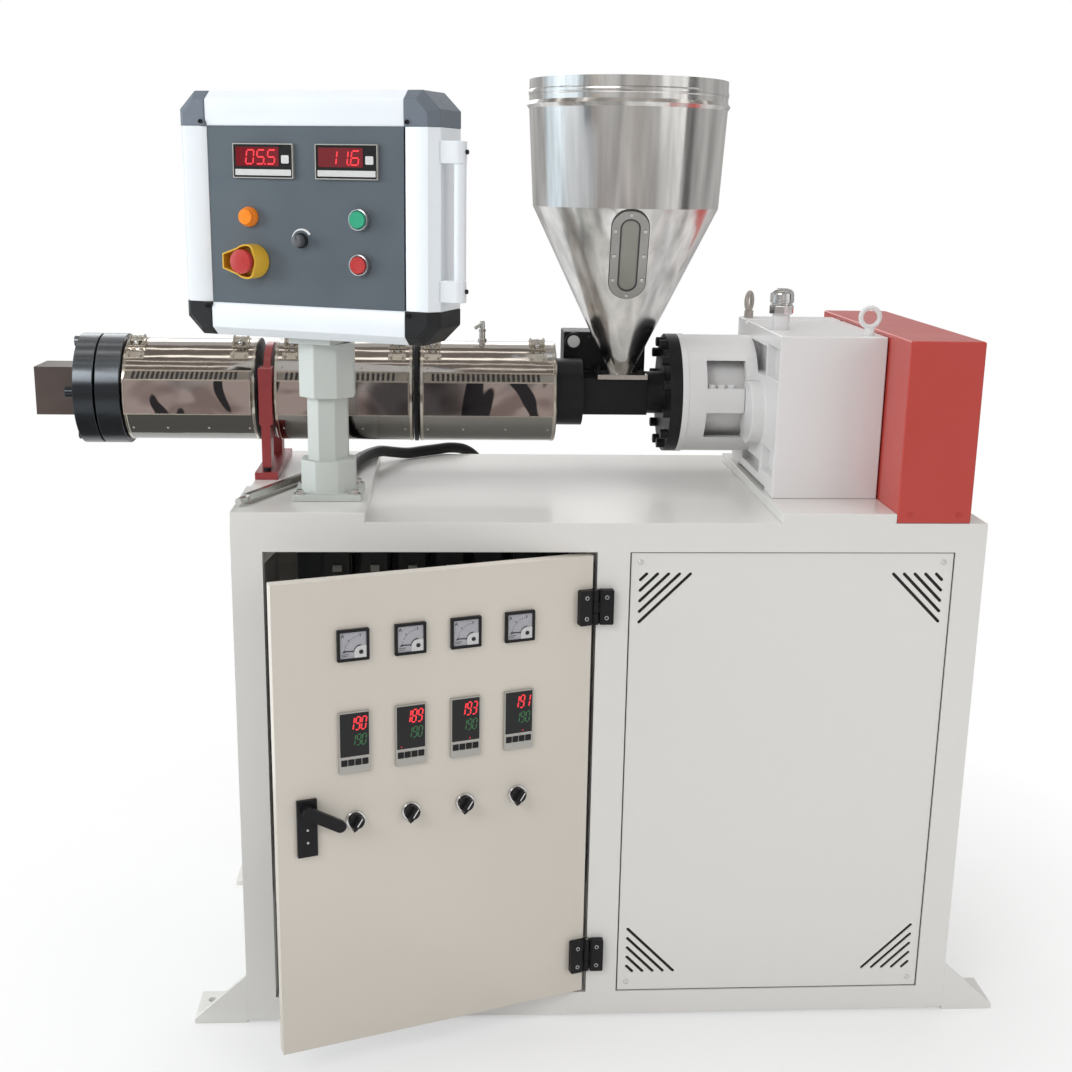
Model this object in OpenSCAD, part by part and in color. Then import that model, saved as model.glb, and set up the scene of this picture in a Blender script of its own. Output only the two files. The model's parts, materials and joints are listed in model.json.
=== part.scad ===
// Bench-height single-screw filament extruder: a sheet-steel cabinet that carries a
// horizontal heated barrel, its gearbox and hopper, and a control box on a post.
// X runs along the barrel, from the die at the left to the belt guard at the right.
// Y runs from the front to the back. Z is up. The origin is on the floor, under the
// middle of the cabinet. All sizes are millimetres.

/* [Cabinet] */
// Length of the cabinet along the barrel
cab_l = 1160; // [1120:10:1450]
// Depth of the cabinet from front to back
cab_d = 550; // [540:10:700]
// Height of the tabletop above the floor
table_h = 845; // [760:5:1020]
// Thickness of the tabletop plate
table_t = 8; // [5:1:12]
// Thickness of the side, back and floor sheets
sheet_t = 3; // [2:0.5:5]
// Depth of the welded front frame
frame_t = 25; // [20:1:40]
// Width of the two outer front stiles
side_stile = 47; // [40:1:70]
// Width of the stile between the door and the vent panel
centre_stile = 50; // [44:1:70]
// Height of the front rail over the openings
top_rail = 38; // [30:1:60]
// Height of the front rail under the openings
bottom_rail = 40; // [30:1:60]
// Height of the dark pads under the cabinet
floor_pad_h = 5; // [4:1:10]
// Height of the machined seats on the tabletop
seat_h = 15; // [8:1:25]
// Length of the left seat beyond the middle of the barrel support
left_seat_past = 175.5; // [160:0.5:230]
// Depth of both seats
seat_d = 495; // [480:5:530]

/* [Floor feet] */
// Reach of each foot beyond the cabinet's end
foot_reach = 86; // [70:1:120]
// Depth of each foot plate
foot_d = 82; // [60:1:120]
// Thickness of the foot plate and its gusset
foot_t = 8; // [6:1:12]
// Radius of the floor bolt hole
foot_hole_r = 7; // [5:0.5:9]
// Distance of the hole from the outer edge of the plate
foot_hole_in = 20; // [16:1:30]

/* [Door] */
// Angle at which the door stands open
door_open = 19.3; // [5:0.1:60]
// Clearance between the door and its opening
door_gap = 5; // [3:0.5:8]
// Depth of the door's folded edges
door_t = 20; // [15:1:24]
// Thickness of the door sheet
door_sheet = 2; // [1:0.5:3]
// Radius of the hinge knuckles
knuckle_r = 6; // [5:0.5:8]
// Side of the square hinge plates
hinge_w = 56; // [40:1:64]
// Distance of the first instrument column from the hinge axis
column_in = 124; // [110:1:140]
// Distance between the instrument columns
column_pitch = 86.5; // [80:0.5:95]
// Distance of the ammeters below the opening's top edge
ammeter_drop = 104; // [80:1:160]
// Distance of the temperature controllers below the opening's top edge
controller_drop = 254; // [230:1:300]
// Distance of the selector switches below the opening's top edge
selector_drop = 378; // [350:1:440]
// Height of the lock plate on the door
lock_h = 90; // [80:1:120]

/* [Barrel line] */
// Height of the barrel axis above the tabletop
axis_h = 150; // [145:1:200]
// Distance of the barrel axis behind the middle of the cabinet
axis_y = 70; // [40:1:80]
// Radius of the barrel tube
barrel_r = 40; // [32:1:46]
// Radius of the heater covers
cover_r = 84.5; // [75:0.5:90]
// Length of the first heater cover
cover1_l = 218; // [200:1:230]
// Length of the second and third heater covers
cover_l = 230; // [215:1:240]
// Gap between the second and third heater covers
cover_gap = 10; // [6:1:20]
// Gap between the first two covers, where the red support stands
support_gap = 29; // [26:1:40]
// Radius of the two die clamp rings
clamp_r = 92; // [86:1:100]
// Length of the outer clamp ring
clamp_a_l = 33; // [25:1:45]
// Length of the inner clamp ring
clamp_b_l = 40; // [25:1:50]
// Gap between the clamp rings
clamp_gap = 3; // [2:0.5:6]
// Side of the square die block
die_w = 80; // [60:1:100]
// Length of the die block that stands out
die_l = 73; // [50:1:120]
// Radius of the die's outlet
die_bore_r = 8; // [3:0.5:15]
// Length of the feed throat casting
throat_l = 111; // [100:1:130]
// Radius of the barrel's rear flange
rear_flange_r = 57; // [50:1:65]
// Length of the barrel's rear flange
rear_flange_l = 46; // [30:1:50]
// Radius of the black drive flange
drive_flange_r = 101; // [96:1:110]
// Length of the collar and the drive flange
drive_flange_l = 62; // [50:1:70]
// Length of the lantern between the drive flange and the gearbox
lantern_l = 116; // [100:1:130]

/* [Hopper] */
// Radius at the top of the hopper's cone
hopper_r = 155; // [120:1:200]
// Growth of the radius from the cone's top to the rim
hopper_flare = 8.5; // [0:0.5:12]
// Height of the hopper above its cone
hopper_cyl_h = 201; // [150:1:260]
// Height of the hopper's cone
hopper_cone_h = 277; // [220:1:320]
// Radius of the hopper's neck
hopper_neck_r = 20; // [18:1:26]
// Sheet thickness of the hopper
hopper_t = 2; // [1.5:0.5:4]
// Side of the hopper's base plate
hopper_plate_w = 86; // [80:1:96]
// Width of the sight glass frame on the hopper's cone
sight_w = 60; // [50:1:80]
// Length of the sight glass frame
sight_l = 158; // [120:2:170]
// Width of the flange around the glass
sight_rim = 15; // [12:1:20]

/* [Gearbox and belt guard] */
// Length of the gearbox along the barrel
gear_l = 170; // [150:1:200]
// Depth of the gearbox from front to back
gear_d = 335; // [300:5:380]
// Height of the gearbox
gear_h = 259; // [255:1:300]
// Distance of the gearbox's front face behind the cabinet front
gear_in = 106; // [90:1:120]
// Length of the belt guard along the barrel
guard_l = 116; // [90:1:120]
// Depth of the belt guard from front to back
guard_d = 510; // [400:5:530]
// Height of the belt guard over the tabletop
guard_h = 280; // [250:1:330]

/* [Control post] */
// Width of the square foot of the post
post_foot_w = 106; // [100:1:130]
// Width of the post across its flats
post_w = 62; // [50:1:70]
// Width of the collars across their flats
collar_w = 84; // [80:1:96]
// Height of the post from its foot to the control box
post_h = 242; // [235:1:330]

/* [Control box] */
// Width of the control box
box_w = 420; // [410:2:520]
// Height of the control box
box_h = 356; // [350:2:440]
// Depth of the control box
box_d = 84; // [76:2:170]
// Turn of the control box on its post
box_turn = -23; // [-60:1:60]
// Distance of the panel in front of the post's axis
box_front = 80; // [60:1:100]
// Width of the aluminium frame beside the panel
rim_w = 52; // [44:1:60]
// Height of the aluminium frame over and under the panel
rim_h = 50; // [44:1:60]
// Thickness of the control panel plate
panel_t = 4; // [2:0.5:6]

/* [Hidden] */
fine = 96;
seat_gap = 0.3;

// Cabinet layout
front_y = -cab_d / 2;
opening_w = (cab_l - 2 * side_stile - centre_stile) / 2;
opening_z0 = floor_pad_h + bottom_rail;
opening_z1 = table_h - table_t - top_rail;
opening_h = opening_z1 - opening_z0;
door_x0 = -cab_l / 2 + side_stile;
door_x1 = door_x0 + opening_w;
vent_x0 = door_x1 + centre_stile;
seat_top = table_h + seat_h;
right_seat_x0 = cab_l / 2 - 323;
guard_x0 = cab_l / 2 - 144;
right_seat_w = guard_x0 - right_seat_x0;

// Door layout, in the door's own frame: the hinge axis is the origin and the door
// reaches towards -X. The front face lies at +knuckle_r.
hinge_in = 2;
hinge_x = door_x1 - hinge_in;
hinge_y = front_y - knuckle_r;
leaf_w = opening_w - 2 * door_gap;
leaf_h = opening_h - 2 * door_gap;
leaf_x1 = -(door_gap - hinge_in);
leaf_z0 = opening_z0 + door_gap;
columns = [for (i = [0 : 3]) -(column_in + i * column_pitch)];
ammeter_z = opening_z1 - ammeter_drop;
controller_z = opening_z1 - controller_drop;
selector_z = opening_z1 - selector_drop;
hinge_zs = [opening_z0 + 73, opening_z1 - 85];
lock_x = -457;
lock_z = opening_z1 - 379;
lever_z = lock_z + 30;
lever_angle = -31;
lever_l = 53;
lever_w = 18;
ammeter_w = 48;
controller_h = 96;
cutout_gap = 0.5;
selector_r = 15.5;
grip_turn = 33;
spindle_r = 5;

// Barrel line, from the gearbox towards the die
axis_z = table_h + axis_h;
gear_x0 = right_seat_x0 + 7;
lantern_x0 = gear_x0 - lantern_l;
drive_x0 = lantern_x0 - drive_flange_l;
throat_x0 = drive_x0 - throat_l;
rear_flange_x0 = throat_x0 - rear_flange_l;
cover3_x0 = rear_flange_x0 - 1 - cover_l;
cover2_x0 = cover3_x0 - cover_gap - cover_l;
cover1_x0 = cover2_x0 - support_gap - cover1_l;
clamp_b_x0 = cover1_x0 - 1 - clamp_b_l;
clamp_a_x0 = clamp_b_x0 - clamp_gap - clamp_a_l;
die_x0 = clamp_a_x0 - die_l;
support_x = cover2_x0 - support_gap / 2 + 3;
left_seat_x1 = support_x + left_seat_past;
gear_y0 = front_y + gear_in;
hub_r = 49.7;
throat_r = 34.5;
throat_top = 27;
hopper_x = drive_x0 - hopper_plate_w / 2 - 1;
hopper_z0 = axis_z + throat_top + 8;
rim_r = hopper_r + hopper_flare;
cone_slope = atan((hopper_r - hopper_neck_r) / hopper_cone_h);

// Control post and box
post_x = -cab_l / 2 + 139;
post_y = front_y + 126;
post_foot_t = 10;
box_z0 = seat_top + post_h + 10;
box_shift = 11;
panel_w = box_w - 2 * rim_w;
panel_h = box_h - 2 * rim_h;
chamfer = 26;
lip = 2;
corner_w = rim_w - lip;
corner_h = rim_h - lip;
lamp_x = -92;
button_x = 89;
button_zs = [-1, -65];
button_r = 11.2;
stem_r = 8;
mushroom_r = 18;
mushroom_gap = 2.8;
stop_guard_r = 25.5;
stop_guard_shift = 6;
stop_guard_t = 25;
knob_x = -7;
knob_z = -33;

// Control cable conduit, from the post's lower collar to the cabinet's back
conduit_r = 10;
conduit_route = [[-429, -93, 894], [-429, -83, 894], [-429, -70, 894], [-427, -38, 887],
                 [-423, -4, 877], [-418, 34, 871], [-412, 72, 871], [-403, 108, 871],
                 [-391, 140, 871], [-374, 168, 870], [-353, 196, 863], [-328, 222, 856.5],
                 [-300, 245, 856], [-274, 264, 856], [-250, 280, 856], [-225, 297, 850],
                 [-203, 312, 833], [-189, 322, 807], [-184, 325, 776], [-184, 325, 750],
                 [-184, 325, 725]];

module tube_x(r, l) {
    rotate([0, 90, 0]) cylinder(r = r, h = l, $fn = fine);
}

module octagon(w, h) {
    rotate([0, 0, 22.5]) cylinder(r = w / 2 / cos(22.5), h = h, $fn = 8);
}

module on_axis() {
    translate([0, axis_y, axis_z]) children();
}

module on_door() {
    translate([hinge_x, hinge_y, 0]) rotate([0, 0, door_open]) children();
}

// The box frame has its origin at the middle of the panel's front face, with the
// panel facing -Y.
module on_box() {
    translate([post_x, post_y, box_z0 + box_h / 2])
        rotate([0, 0, box_turn])
        translate([box_shift, -box_front, 0]) children();
}

module front_stiles() {
    h = table_h - table_t - floor_pad_h;
    color("ghostwhite") {
        translate([-cab_l / 2, front_y, floor_pad_h]) cube([side_stile, frame_t, h]);
        translate([door_x1, front_y, floor_pad_h]) cube([centre_stile, frame_t, h]);
        translate([cab_l / 2 - side_stile, front_y, floor_pad_h])
            cube([side_stile, frame_t, h]);
    }
}

module front_rails() {
    color("ghostwhite")
        for (x = [door_x0, vent_x0]) {
            translate([x, front_y, floor_pad_h]) cube([opening_w, frame_t, bottom_rail]);
            translate([x, front_y, opening_z1]) cube([opening_w, frame_t, top_rail]);
        }
}

module side_walls() {
    h = table_h - table_t - floor_pad_h;
    color("ghostwhite")
        for (x = [-cab_l / 2, cab_l / 2 - sheet_t])
            translate([x, front_y + frame_t, floor_pad_h])
                cube([sheet_t, cab_d - frame_t, h]);
}

module back_wall() {
    color("ghostwhite")
        translate([-cab_l / 2 + sheet_t, -front_y - sheet_t, floor_pad_h])
            cube([cab_l - 2 * sheet_t, sheet_t, table_h - table_t - floor_pad_h]);
}

module cabinet_floor() {
    color("ghostwhite")
        translate([-cab_l / 2 + sheet_t, front_y + frame_t, floor_pad_h])
            cube([cab_l - 2 * sheet_t, cab_d - frame_t - sheet_t, sheet_t]);
}

module tabletop() {
    color("ghostwhite")
        translate([-cab_l / 2, front_y, table_h - table_t]) cube([cab_l, cab_d, table_t]);
}

module machined_seats() {
    notch_y = 189;
    notch_w = 7;
    color("ghostwhite") {
        translate([-cab_l / 2, front_y, table_h])
            difference() {
                cube([left_seat_x1 + cab_l / 2, seat_d, seat_h]);
                translate([-1, notch_y, -1]) cube([notch_w + 1, seat_d, seat_h + 2]);
            }
        translate([right_seat_x0, front_y, table_h]) cube([right_seat_w, seat_d, seat_h]);
    }
}

// One foot: a plate on the floor, with a gusset up the cabinet's end
module foot_bracket() {
    difference() {
        union() {
            cube([foot_reach, foot_d, foot_t]);
            translate([0, foot_t, foot_t]) rotate([90, 0, 0]) linear_extrude(foot_t)
                polygon([[0, 0], [foot_reach, 0], [0, foot_reach - foot_t]]);
        }
        translate([foot_reach - foot_hole_in, foot_d - 25, -1])
            cylinder(r = foot_hole_r, h = foot_t + 2, $fn = 48);
    }
}

module foot_brackets() {
    color("ghostwhite")
        for (sx = [0, 1])
            for (sy = [0, 1])
                mirror([sx, 0, 0]) mirror([0, sy, 0])
                    translate([cab_l / 2, front_y, 0]) foot_bracket();
}

module floor_pads() {
    color("dimgray")
        for (x = [-cab_l / 2 + 40, 0, cab_l / 2 - 40])
            for (y = [front_y + 30, -front_y - 30])
                translate([x, y, 0]) cylinder(r = 20, h = floor_pad_h, $fn = 48);
}

module mounting_plate() {
    color("gainsboro")
        translate([door_x0 + 10, 120, floor_pad_h + sheet_t])
            cube([opening_w - 20, 3, opening_z1 - 60]);
}

// Two rows of contactors over two terminal strips
module switchgear() {
    color("whitesmoke") {
        for (z = [opening_z1 - 150, opening_z1 - 330])
            for (i = [0 : 5])
                translate([door_x0 + 60 + i * 66, 120 - 80, z]) cube([52, 80, 84]);
        for (z = [opening_z1 - 225, opening_z1 - 500])
            translate([door_x0 + 50, 120 - 45, z]) cube([opening_w - 100, 45, 36]);
    }
}

// A slanted slot between two points on the panel
module slant_slot(a, b, w, t) {
    d = b - a;
    l = norm(d);
    translate([a.x, 0, a.y]) rotate([0, -atan2(d.y, d.x), 0]) {
        translate([0, -t, -w / 2]) cube([l, 3 * t, w]);
        translate([0, -t, 0]) rotate([-90, 0, 0]) cylinder(d = w, h = 3 * t, $fn = 24);
        translate([l, -t, 0]) rotate([-90, 0, 0]) cylinder(d = w, h = 3 * t, $fn = 24);
    }
}

// A fan of slanted slots in each corner of the panel
module vent_panel() {
    t = 2;
    w = opening_w - 2 * seat_gap;
    h = opening_h - 2 * seat_gap;
    slot_w = 5;
    edge_x = 17;
    edge_z = 35;
    pitch = 17;
    color("ghostwhite")
        translate([vent_x0 + opening_w / 2, front_y + 3, (opening_z0 + opening_z1) / 2])
            difference() {
                translate([-w / 2, 0, -h / 2]) cube([w, t, h]);
                for (sx = [0, 1])
                    for (sz = [0, 1])
                        mirror([sx, 0, 0]) mirror([0, 0, sz])
                            for (k = [1 : 5])
                                slant_slot([-w / 2 + edge_x, h / 2 - edge_z - pitch * (k - 0.45)],
                                           [-w / 2 + edge_x + pitch * (k - 0.45), h / 2 - edge_z],
                                           slot_w, t);
            }
}

// Hinge leaves and knuckles: the frame carries the middle knuckle
module frame_hinge_leaves() {
    color("dimgray")
        for (z = hinge_zs)
            translate([hinge_x, hinge_y, z - hinge_w / 2]) {
                translate([0, 0, hinge_w / 3]) cylinder(r = knuckle_r, h = hinge_w / 3, $fn = 48);
                translate([0, knuckle_r - 4, hinge_w / 3]) cube([12, 4, hinge_w / 3]);
                translate([8, knuckle_r - 4, 0]) cube([hinge_w / 2 - 8, 4, hinge_w]);
            }
}

module door_hinge_leaves() {
    color("dimgray") on_door()
        for (z = hinge_zs)
            for (end = [0, 1])
                translate([0, 0, z + (end == 0 ? -hinge_w / 2 : hinge_w / 6 + 0.3)]) {
                    cylinder(r = knuckle_r, h = hinge_w / 3 - 0.3, $fn = 48);
                    translate([-hinge_w / 2, knuckle_r - 4, 0])
                        cube([hinge_w / 2, 4 - 0.2, hinge_w / 3 - 0.3]);
                }
}

// The door is a tray: a sheet with its four edges folded back
module door_panel() {
    color("antiquewhite") on_door()
        translate([leaf_x1 - leaf_w, knuckle_r, leaf_z0])
            difference() {
                cube([leaf_w, door_t, leaf_h]);
                translate([door_sheet, door_sheet, door_sheet])
                    cube([leaf_w - 2 * door_sheet, door_t, leaf_h - 2 * door_sheet]);
                translate([leaf_w - leaf_x1, 0, -leaf_z0]) door_cuts();
            }
}

module door_cuts() {
    aw = 44 + 2 * cutout_gap;
    ch = 91 + 2 * cutout_gap;
    for (x = columns) {
        translate([x - aw / 2, -1, ammeter_z - aw / 2]) cube([aw, door_sheet + 2, aw]);
        translate([x - aw / 2, -1, controller_z - ch / 2]) cube([aw, door_sheet + 2, ch]);
        translate([x, -1, selector_z]) rotate([-90, 0, 0])
            cylinder(r = 11 + cutout_gap, h = door_sheet + 2, $fn = 48);
    }
    translate([lock_x, -1, lever_z]) rotate([-90, 0, 0])
        cylinder(r = spindle_r + 3, h = door_sheet + 2, $fn = 48);
}

module ammeters() {
    color("black") on_door()
        for (x = columns)
            translate([x, knuckle_r, ammeter_z]) {
                translate([-ammeter_w / 2, -6, -ammeter_w / 2])
                    cube([ammeter_w, 6, ammeter_w]);
                translate([-22, 0, -22]) cube([44, 38, 44]);
            }
}

module temperature_controllers() {
    color("silver") on_door()
        for (x = columns)
            translate([x, knuckle_r, controller_z]) {
                translate([-ammeter_w / 2, -5, -controller_h / 2])
                    cube([ammeter_w, 5, controller_h]);
                translate([-22, 0, -45.5]) cube([44, 70, 91]);
            }
}

module selector_bodies() {
    color("silver") on_door()
        for (x = columns)
            translate([x, knuckle_r, selector_z]) {
                rotate([90, 0, 0]) cylinder(r = selector_r, h = 5, $fn = 48);
                rotate([-90, 0, 0]) cylinder(r = 11, h = 12, $fn = 48);
                translate([-15, 12, -20]) cube([30, 38, 40]);
            }
}

// A pointer knob: a disc with a raised, beaked grip across it
module selector_knob(i) {
    color("black") on_door()
        translate([columns[i], knuckle_r - 5 - seat_gap, selector_z]) {
            rotate([90, 0, 0]) cylinder(r = 12, h = 7, $fn = 48);
            rotate([0, grip_turn, 0]) translate([0, -6.5, 0]) rotate([90, 0, 0])
                linear_extrude(9.5)
                    polygon([[0, -14], [4.5, -9], [4.5, 11], [-4.5, 11], [-4.5, -9]]);
        }
}

module selector_knob_1() { selector_knob(0); }
module selector_knob_2() { selector_knob(1); }
module selector_knob_3() { selector_knob(2); }
module selector_knob_4() { selector_knob(3); }

module lock_plate() {
    color("black") on_door()
        translate([lock_x, knuckle_r, lock_z])
            difference() {
                translate([-15, -6, -lock_h / 2]) cube([30, 6, lock_h]);
                translate([0, -7, lever_z - lock_z]) rotate([-90, 0, 0])
                    cylinder(r = spindle_r + seat_gap, h = 8, $fn = 48);
            }
}

// The lever turns a spindle that carries the latch tongue behind the door
module lock_lever() {
    lever_t = 8;
    tongue_in = door_t + 11;
    color("black") on_door()
        translate([lock_x, knuckle_r, lever_z]) rotate([0, -lever_angle, 0]) {
            translate([0, -6 - seat_gap, 0]) rotate([90, 0, 0])
                cylinder(d = lever_w, h = 8 + lever_t, $fn = 48);
            translate([0, -14 - lever_t - seat_gap, -lever_w / 2])
                cube([lever_l, lever_t, lever_w]);
            translate([lever_l, -14 - lever_t - seat_gap, 0]) rotate([-90, 0, 0])
                cylinder(d = lever_w, h = lever_t, $fn = 48);
            translate([0, -8, 0]) rotate([-90, 0, 0])
                cylinder(r = spindle_r, h = 8 + tongue_in + 4, $fn = 48);
            translate([-9, tongue_in, -60]) cube([18, 4, 69]);
        }
}

// The pockets in the left face are listed as Y, Z, width and height
module gearbox_housing() {
    pockets = [[97, gear_h - 76, 118, 48], [6, gear_h - 73, 84, 51], [15, 32, 80, 39],
               [111, 20, 135, 20]];
    color("white")
        translate([gear_x0, gear_y0, seat_top])
            difference() {
                cube([gear_l, gear_d, gear_h]);
                for (p = pockets)
                    translate([-1, p[0], p[1]]) cube([16, p[2], p[3]]);
                translate([-1, 60, -1]) cube([30, gear_d - 120, 7]);
                translate([-1, 259, gear_h - 5]) cube([gear_l + 2, 19, 6]);
            }
    color("white") bearing_cap(0);
}

// The round cap on the gearbox's left face, grown by g for the lantern's relief
module bearing_cap(g) {
    translate([gear_x0, gear_y0 + 131, axis_z - 16]) rotate([0, -90, 0])
        cylinder(r = 52 + g, h = 22 + g, $fn = fine);
}

module gearbox_fittings() {
    top = seat_top + gear_h;
    color("gainsboro") {
        for (p = [[gear_x0 + 13, gear_y0 + gear_d - 22, 60], [gear_x0 + 148, gear_y0 + 32, 0]])
            translate([p.x, p.y, top]) rotate([0, 0, p.z]) {
                cylinder(r = 8, h = 12, $fn = 48);
                translate([0, 0, 28]) rotate([90, 0, 0])
                    rotate_extrude($fn = 48) translate([15, 0]) circle(r = 4, $fn = 24);
            }
        translate([gear_x0 + 24, gear_y0 + 112, top]) {
            cylinder(r = 14, h = 28, $fn = 48);
            translate([0, 0, 28]) cylinder(r = 20, h = 38, $fn = 48);
        }
    }
}

// The lantern is a tube with two windows at the front and two at the back, relieved
// around the gearbox's bearing cap
module lantern_housing() {
    wall = 14;
    win_l = lantern_l - 50;
    win_h = 45;
    color("white")
        difference() {
            on_axis() translate([lantern_x0, 0, 0])
                difference() {
                    tube_x(100, lantern_l);
                    translate([12, 0, 0]) tube_x(100 - wall, lantern_l - 24);
                    translate([-1, 0, 0]) tube_x(hub_r + seat_gap, lantern_l + 2);
                    for (z = [20, -20 - win_h])
                        translate([30, -120, z]) cube([win_l, 240, win_h]);
                }
            bearing_cap(1);
        }
}

// The collar and flange at the barrel's end, and the hub that runs into the lantern
module drive_flange() {
    bolt_r = 88;
    color("black") on_axis() {
        translate([drive_x0, 0, 0]) tube_x(36.3, drive_flange_l - 30);
        translate([lantern_x0 - 31, 0, 0]) tube_x(drive_flange_r, 31);
        translate([lantern_x0 - 1, 0, 0]) tube_x(hub_r, lantern_l + 1);
        for (a = [15 : 30 : 345])
            rotate([a, 0, 0]) translate([lantern_x0 - 42, 0, bolt_r]) tube_x(8, 12);
    }
}

module feed_throat() {
    bore_r = hopper_neck_r - hopper_t;
    color("black") on_axis()
        difference() {
            union() {
                translate([rear_flange_x0, 0, 0]) tube_x(rear_flange_r, rear_flange_l);
                translate([throat_x0, -throat_r, -throat_r])
                    cube([throat_l, 2 * throat_r, throat_r + throat_top]);
            }
            translate([hopper_x, 0, -15]) cylinder(r = bore_r, h = 60, $fn = 48);
        }
}

// The terminal box behind the hopper's neck, on a bracket from the throat's back
module junction_box() {
    back_y = 56;
    color("black") on_axis()
        translate([throat_x0 - 27, 0, 0]) {
            translate([0, back_y, 20]) cube([144, 70, 77]);
            translate([37, throat_r, -10]) cube([60, back_y - throat_r + 10, 36]);
        }
}

module barrel_tube() {
    color("silver") on_axis()
        translate([clamp_b_x0 + clamp_b_l, 0, 0])
            tube_x(barrel_r, rear_flange_x0 - clamp_b_x0 - clamp_b_l);
}

// A round cover with a box along its front, whose top edge slants back to the round
module heater_cover(l) {
    box_y = -100;
    color("lightgray") rotate([90, 0, 90]) linear_extrude(l)
        difference() {
            union() {
                circle(r = cover_r, $fn = fine);
                polygon([[box_y, -28], [box_y, 28], [-76, 36], [-60, 0], [-76, -28]]);
            }
            circle(r = barrel_r + seat_gap, $fn = fine);
        }
}

module heater_covers() {
    on_axis() {
        translate([cover1_x0, 0, 0]) heater_cover(cover1_l);
        translate([cover2_x0, 0, 0]) heater_cover(cover_l);
        translate([cover3_x0, 0, 0]) heater_cover(cover_l);
    }
}

// Clamp lugs on top of the covers, and the thermocouple over the third
module heater_fittings() {
    lug = [28, 26, 12];
    color("silver") on_axis() {
        for (x = [cover1_x0 + 6, cover1_x0 + cover1_l - 42, cover2_x0 + 14,
                  cover2_x0 + cover_l - 41, cover3_x0 + 8, cover3_x0 + cover_l - 46])
            rotate([20, 0, 0]) translate([x, -lug.y / 2, cover_r + seat_gap]) cube(lug);
        translate([cover3_x0 + 106, 0, cover_r + seat_gap]) cylinder(r = 6, h = 36, $fn = 48);
    }
}

// A clamp ring on two legs over a long foot
module barrel_support() {
    foot = [38, 220, 12];
    foot_z = seat_top - axis_z;
    color("firebrick") on_axis()
        translate([support_x, 0, 0])
            difference() {
                union() {
                    translate([-6, 0, 0]) tube_x(80, 12);
                    translate([-11, -96, -46]) cube([22, 36, 93]);
                    translate([-8, -96, foot_z + foot.z - 1]) cube([15, 36, 80]);
                    translate([-8, 60, foot_z + foot.z - 1]) cube([15, 36, 120]);
                    translate([-foot.x / 2, -foot.y / 2, foot_z]) cube(foot);
                }
                translate([-30, 0, 0]) tube_x(barrel_r + seat_gap, 60);
            }
}

module clamp_rings() {
    color("darkslategray") on_axis() {
        translate([clamp_a_x0, 0, 0]) tube_x(clamp_r, clamp_a_l);
        translate([clamp_b_x0, 0, 0]) tube_x(clamp_r, clamp_b_l);
        translate([clamp_a_x0 + clamp_a_l, 0, 0]) tube_x(60, clamp_gap);
        for (a = [87 : 90 : 357])
            rotate([a, 0, 0]) translate([clamp_a_x0 - 14, 0, clamp_r - 14]) tube_x(9, 15);
    }
}

module die_block() {
    color("rosybrown") on_axis()
        translate([die_x0, 0, 0])
            difference() {
                translate([0, -die_w / 2, -die_w / 2]) cube([die_l, die_w, die_w]);
                translate([-1, 0, 0]) tube_x(die_bore_r, 61);
            }
}

// A place on the front of the cone, with -Y pointing straight out of the sheet
module on_cone() {
    z = 0.738 * hopper_cone_h;
    turn = -3;
    translate([hopper_x, axis_y, hopper_z0 + z]) rotate([0, 0, turn])
        translate([0, -hopper_neck_r - z * tan(cone_slope), 0])
        rotate([cone_slope, 0, 0]) children();
}

// An oval prism standing on the cone, from y0 behind the sheet to y1 in front of it
module oval_prism(w, l, y0, y1) {
    translate([0, y0, 0]) rotate([90, 0, 0]) linear_extrude(y0 - y1) {
        for (s = [-1, 1])
            translate([0, s * (l - w) / 2]) circle(d = w, $fn = 64);
        square([w, l - w], center = true);
    }
}

module hopper_shell() {
    bead_z = hopper_cone_h + hopper_cyl_h - 40;
    top = hopper_cone_h + hopper_cyl_h;
    dt = hopper_t / cos(cone_slope);
    color("lightgray")
        difference() {
            translate([hopper_x, axis_y, hopper_z0])
                rotate_extrude($fn = 128)
                    polygon([[hopper_neck_r, 0], [hopper_r, hopper_cone_h],
                             [rim_r, bead_z - 6], [rim_r + 4, bead_z], [rim_r, bead_z + 6],
                             [rim_r, top], [rim_r - hopper_t, top],
                             [rim_r - hopper_t, bead_z - 6],
                             [hopper_r - hopper_t, hopper_cone_h], [hopper_neck_r - dt, 0]]);
            on_cone() oval_prism(sight_w - 2 * sight_rim, sight_l - 2 * sight_rim, 20, -20);
        }
}

module hopper_base_plate() {
    color("silver")
        translate([hopper_x, axis_y, hopper_z0 - 8])
            difference() {
                translate([-hopper_plate_w / 2, -hopper_plate_w / 2, 0])
                    cube([hopper_plate_w, hopper_plate_w, 8]);
                translate([0, 0, -1])
                    cylinder(r = hopper_neck_r - hopper_t, h = 10, $fn = 48);
            }
}

// The flange's back follows the cone
module sight_frame() {
    color("gray")
        difference() {
            on_cone() oval_prism(sight_w, sight_l, 8, -4);
            on_cone() oval_prism(sight_w - 2 * sight_rim, sight_l - 2 * sight_rim, 20, -20);
            translate([hopper_x, axis_y, hopper_z0]) {
                cylinder(r1 = hopper_neck_r + seat_gap, r2 = hopper_r + seat_gap,
                         h = hopper_cone_h, $fn = 128);
                translate([0, 0, hopper_cone_h])
                    cylinder(r = hopper_r + seat_gap, h = 20, $fn = 128);
            }
        }
}

module sight_pane() {
    w = sight_w - 2 * sight_rim - 2 * seat_gap;
    color("slategray")
        on_cone() oval_prism(w, sight_l - 2 * sight_rim - 2 * seat_gap, -0.5, -3);
}

module belt_guard() {
    color("red")
        translate([guard_x0, front_y, table_h]) cube([guard_l, guard_d, guard_h]);
}

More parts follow.
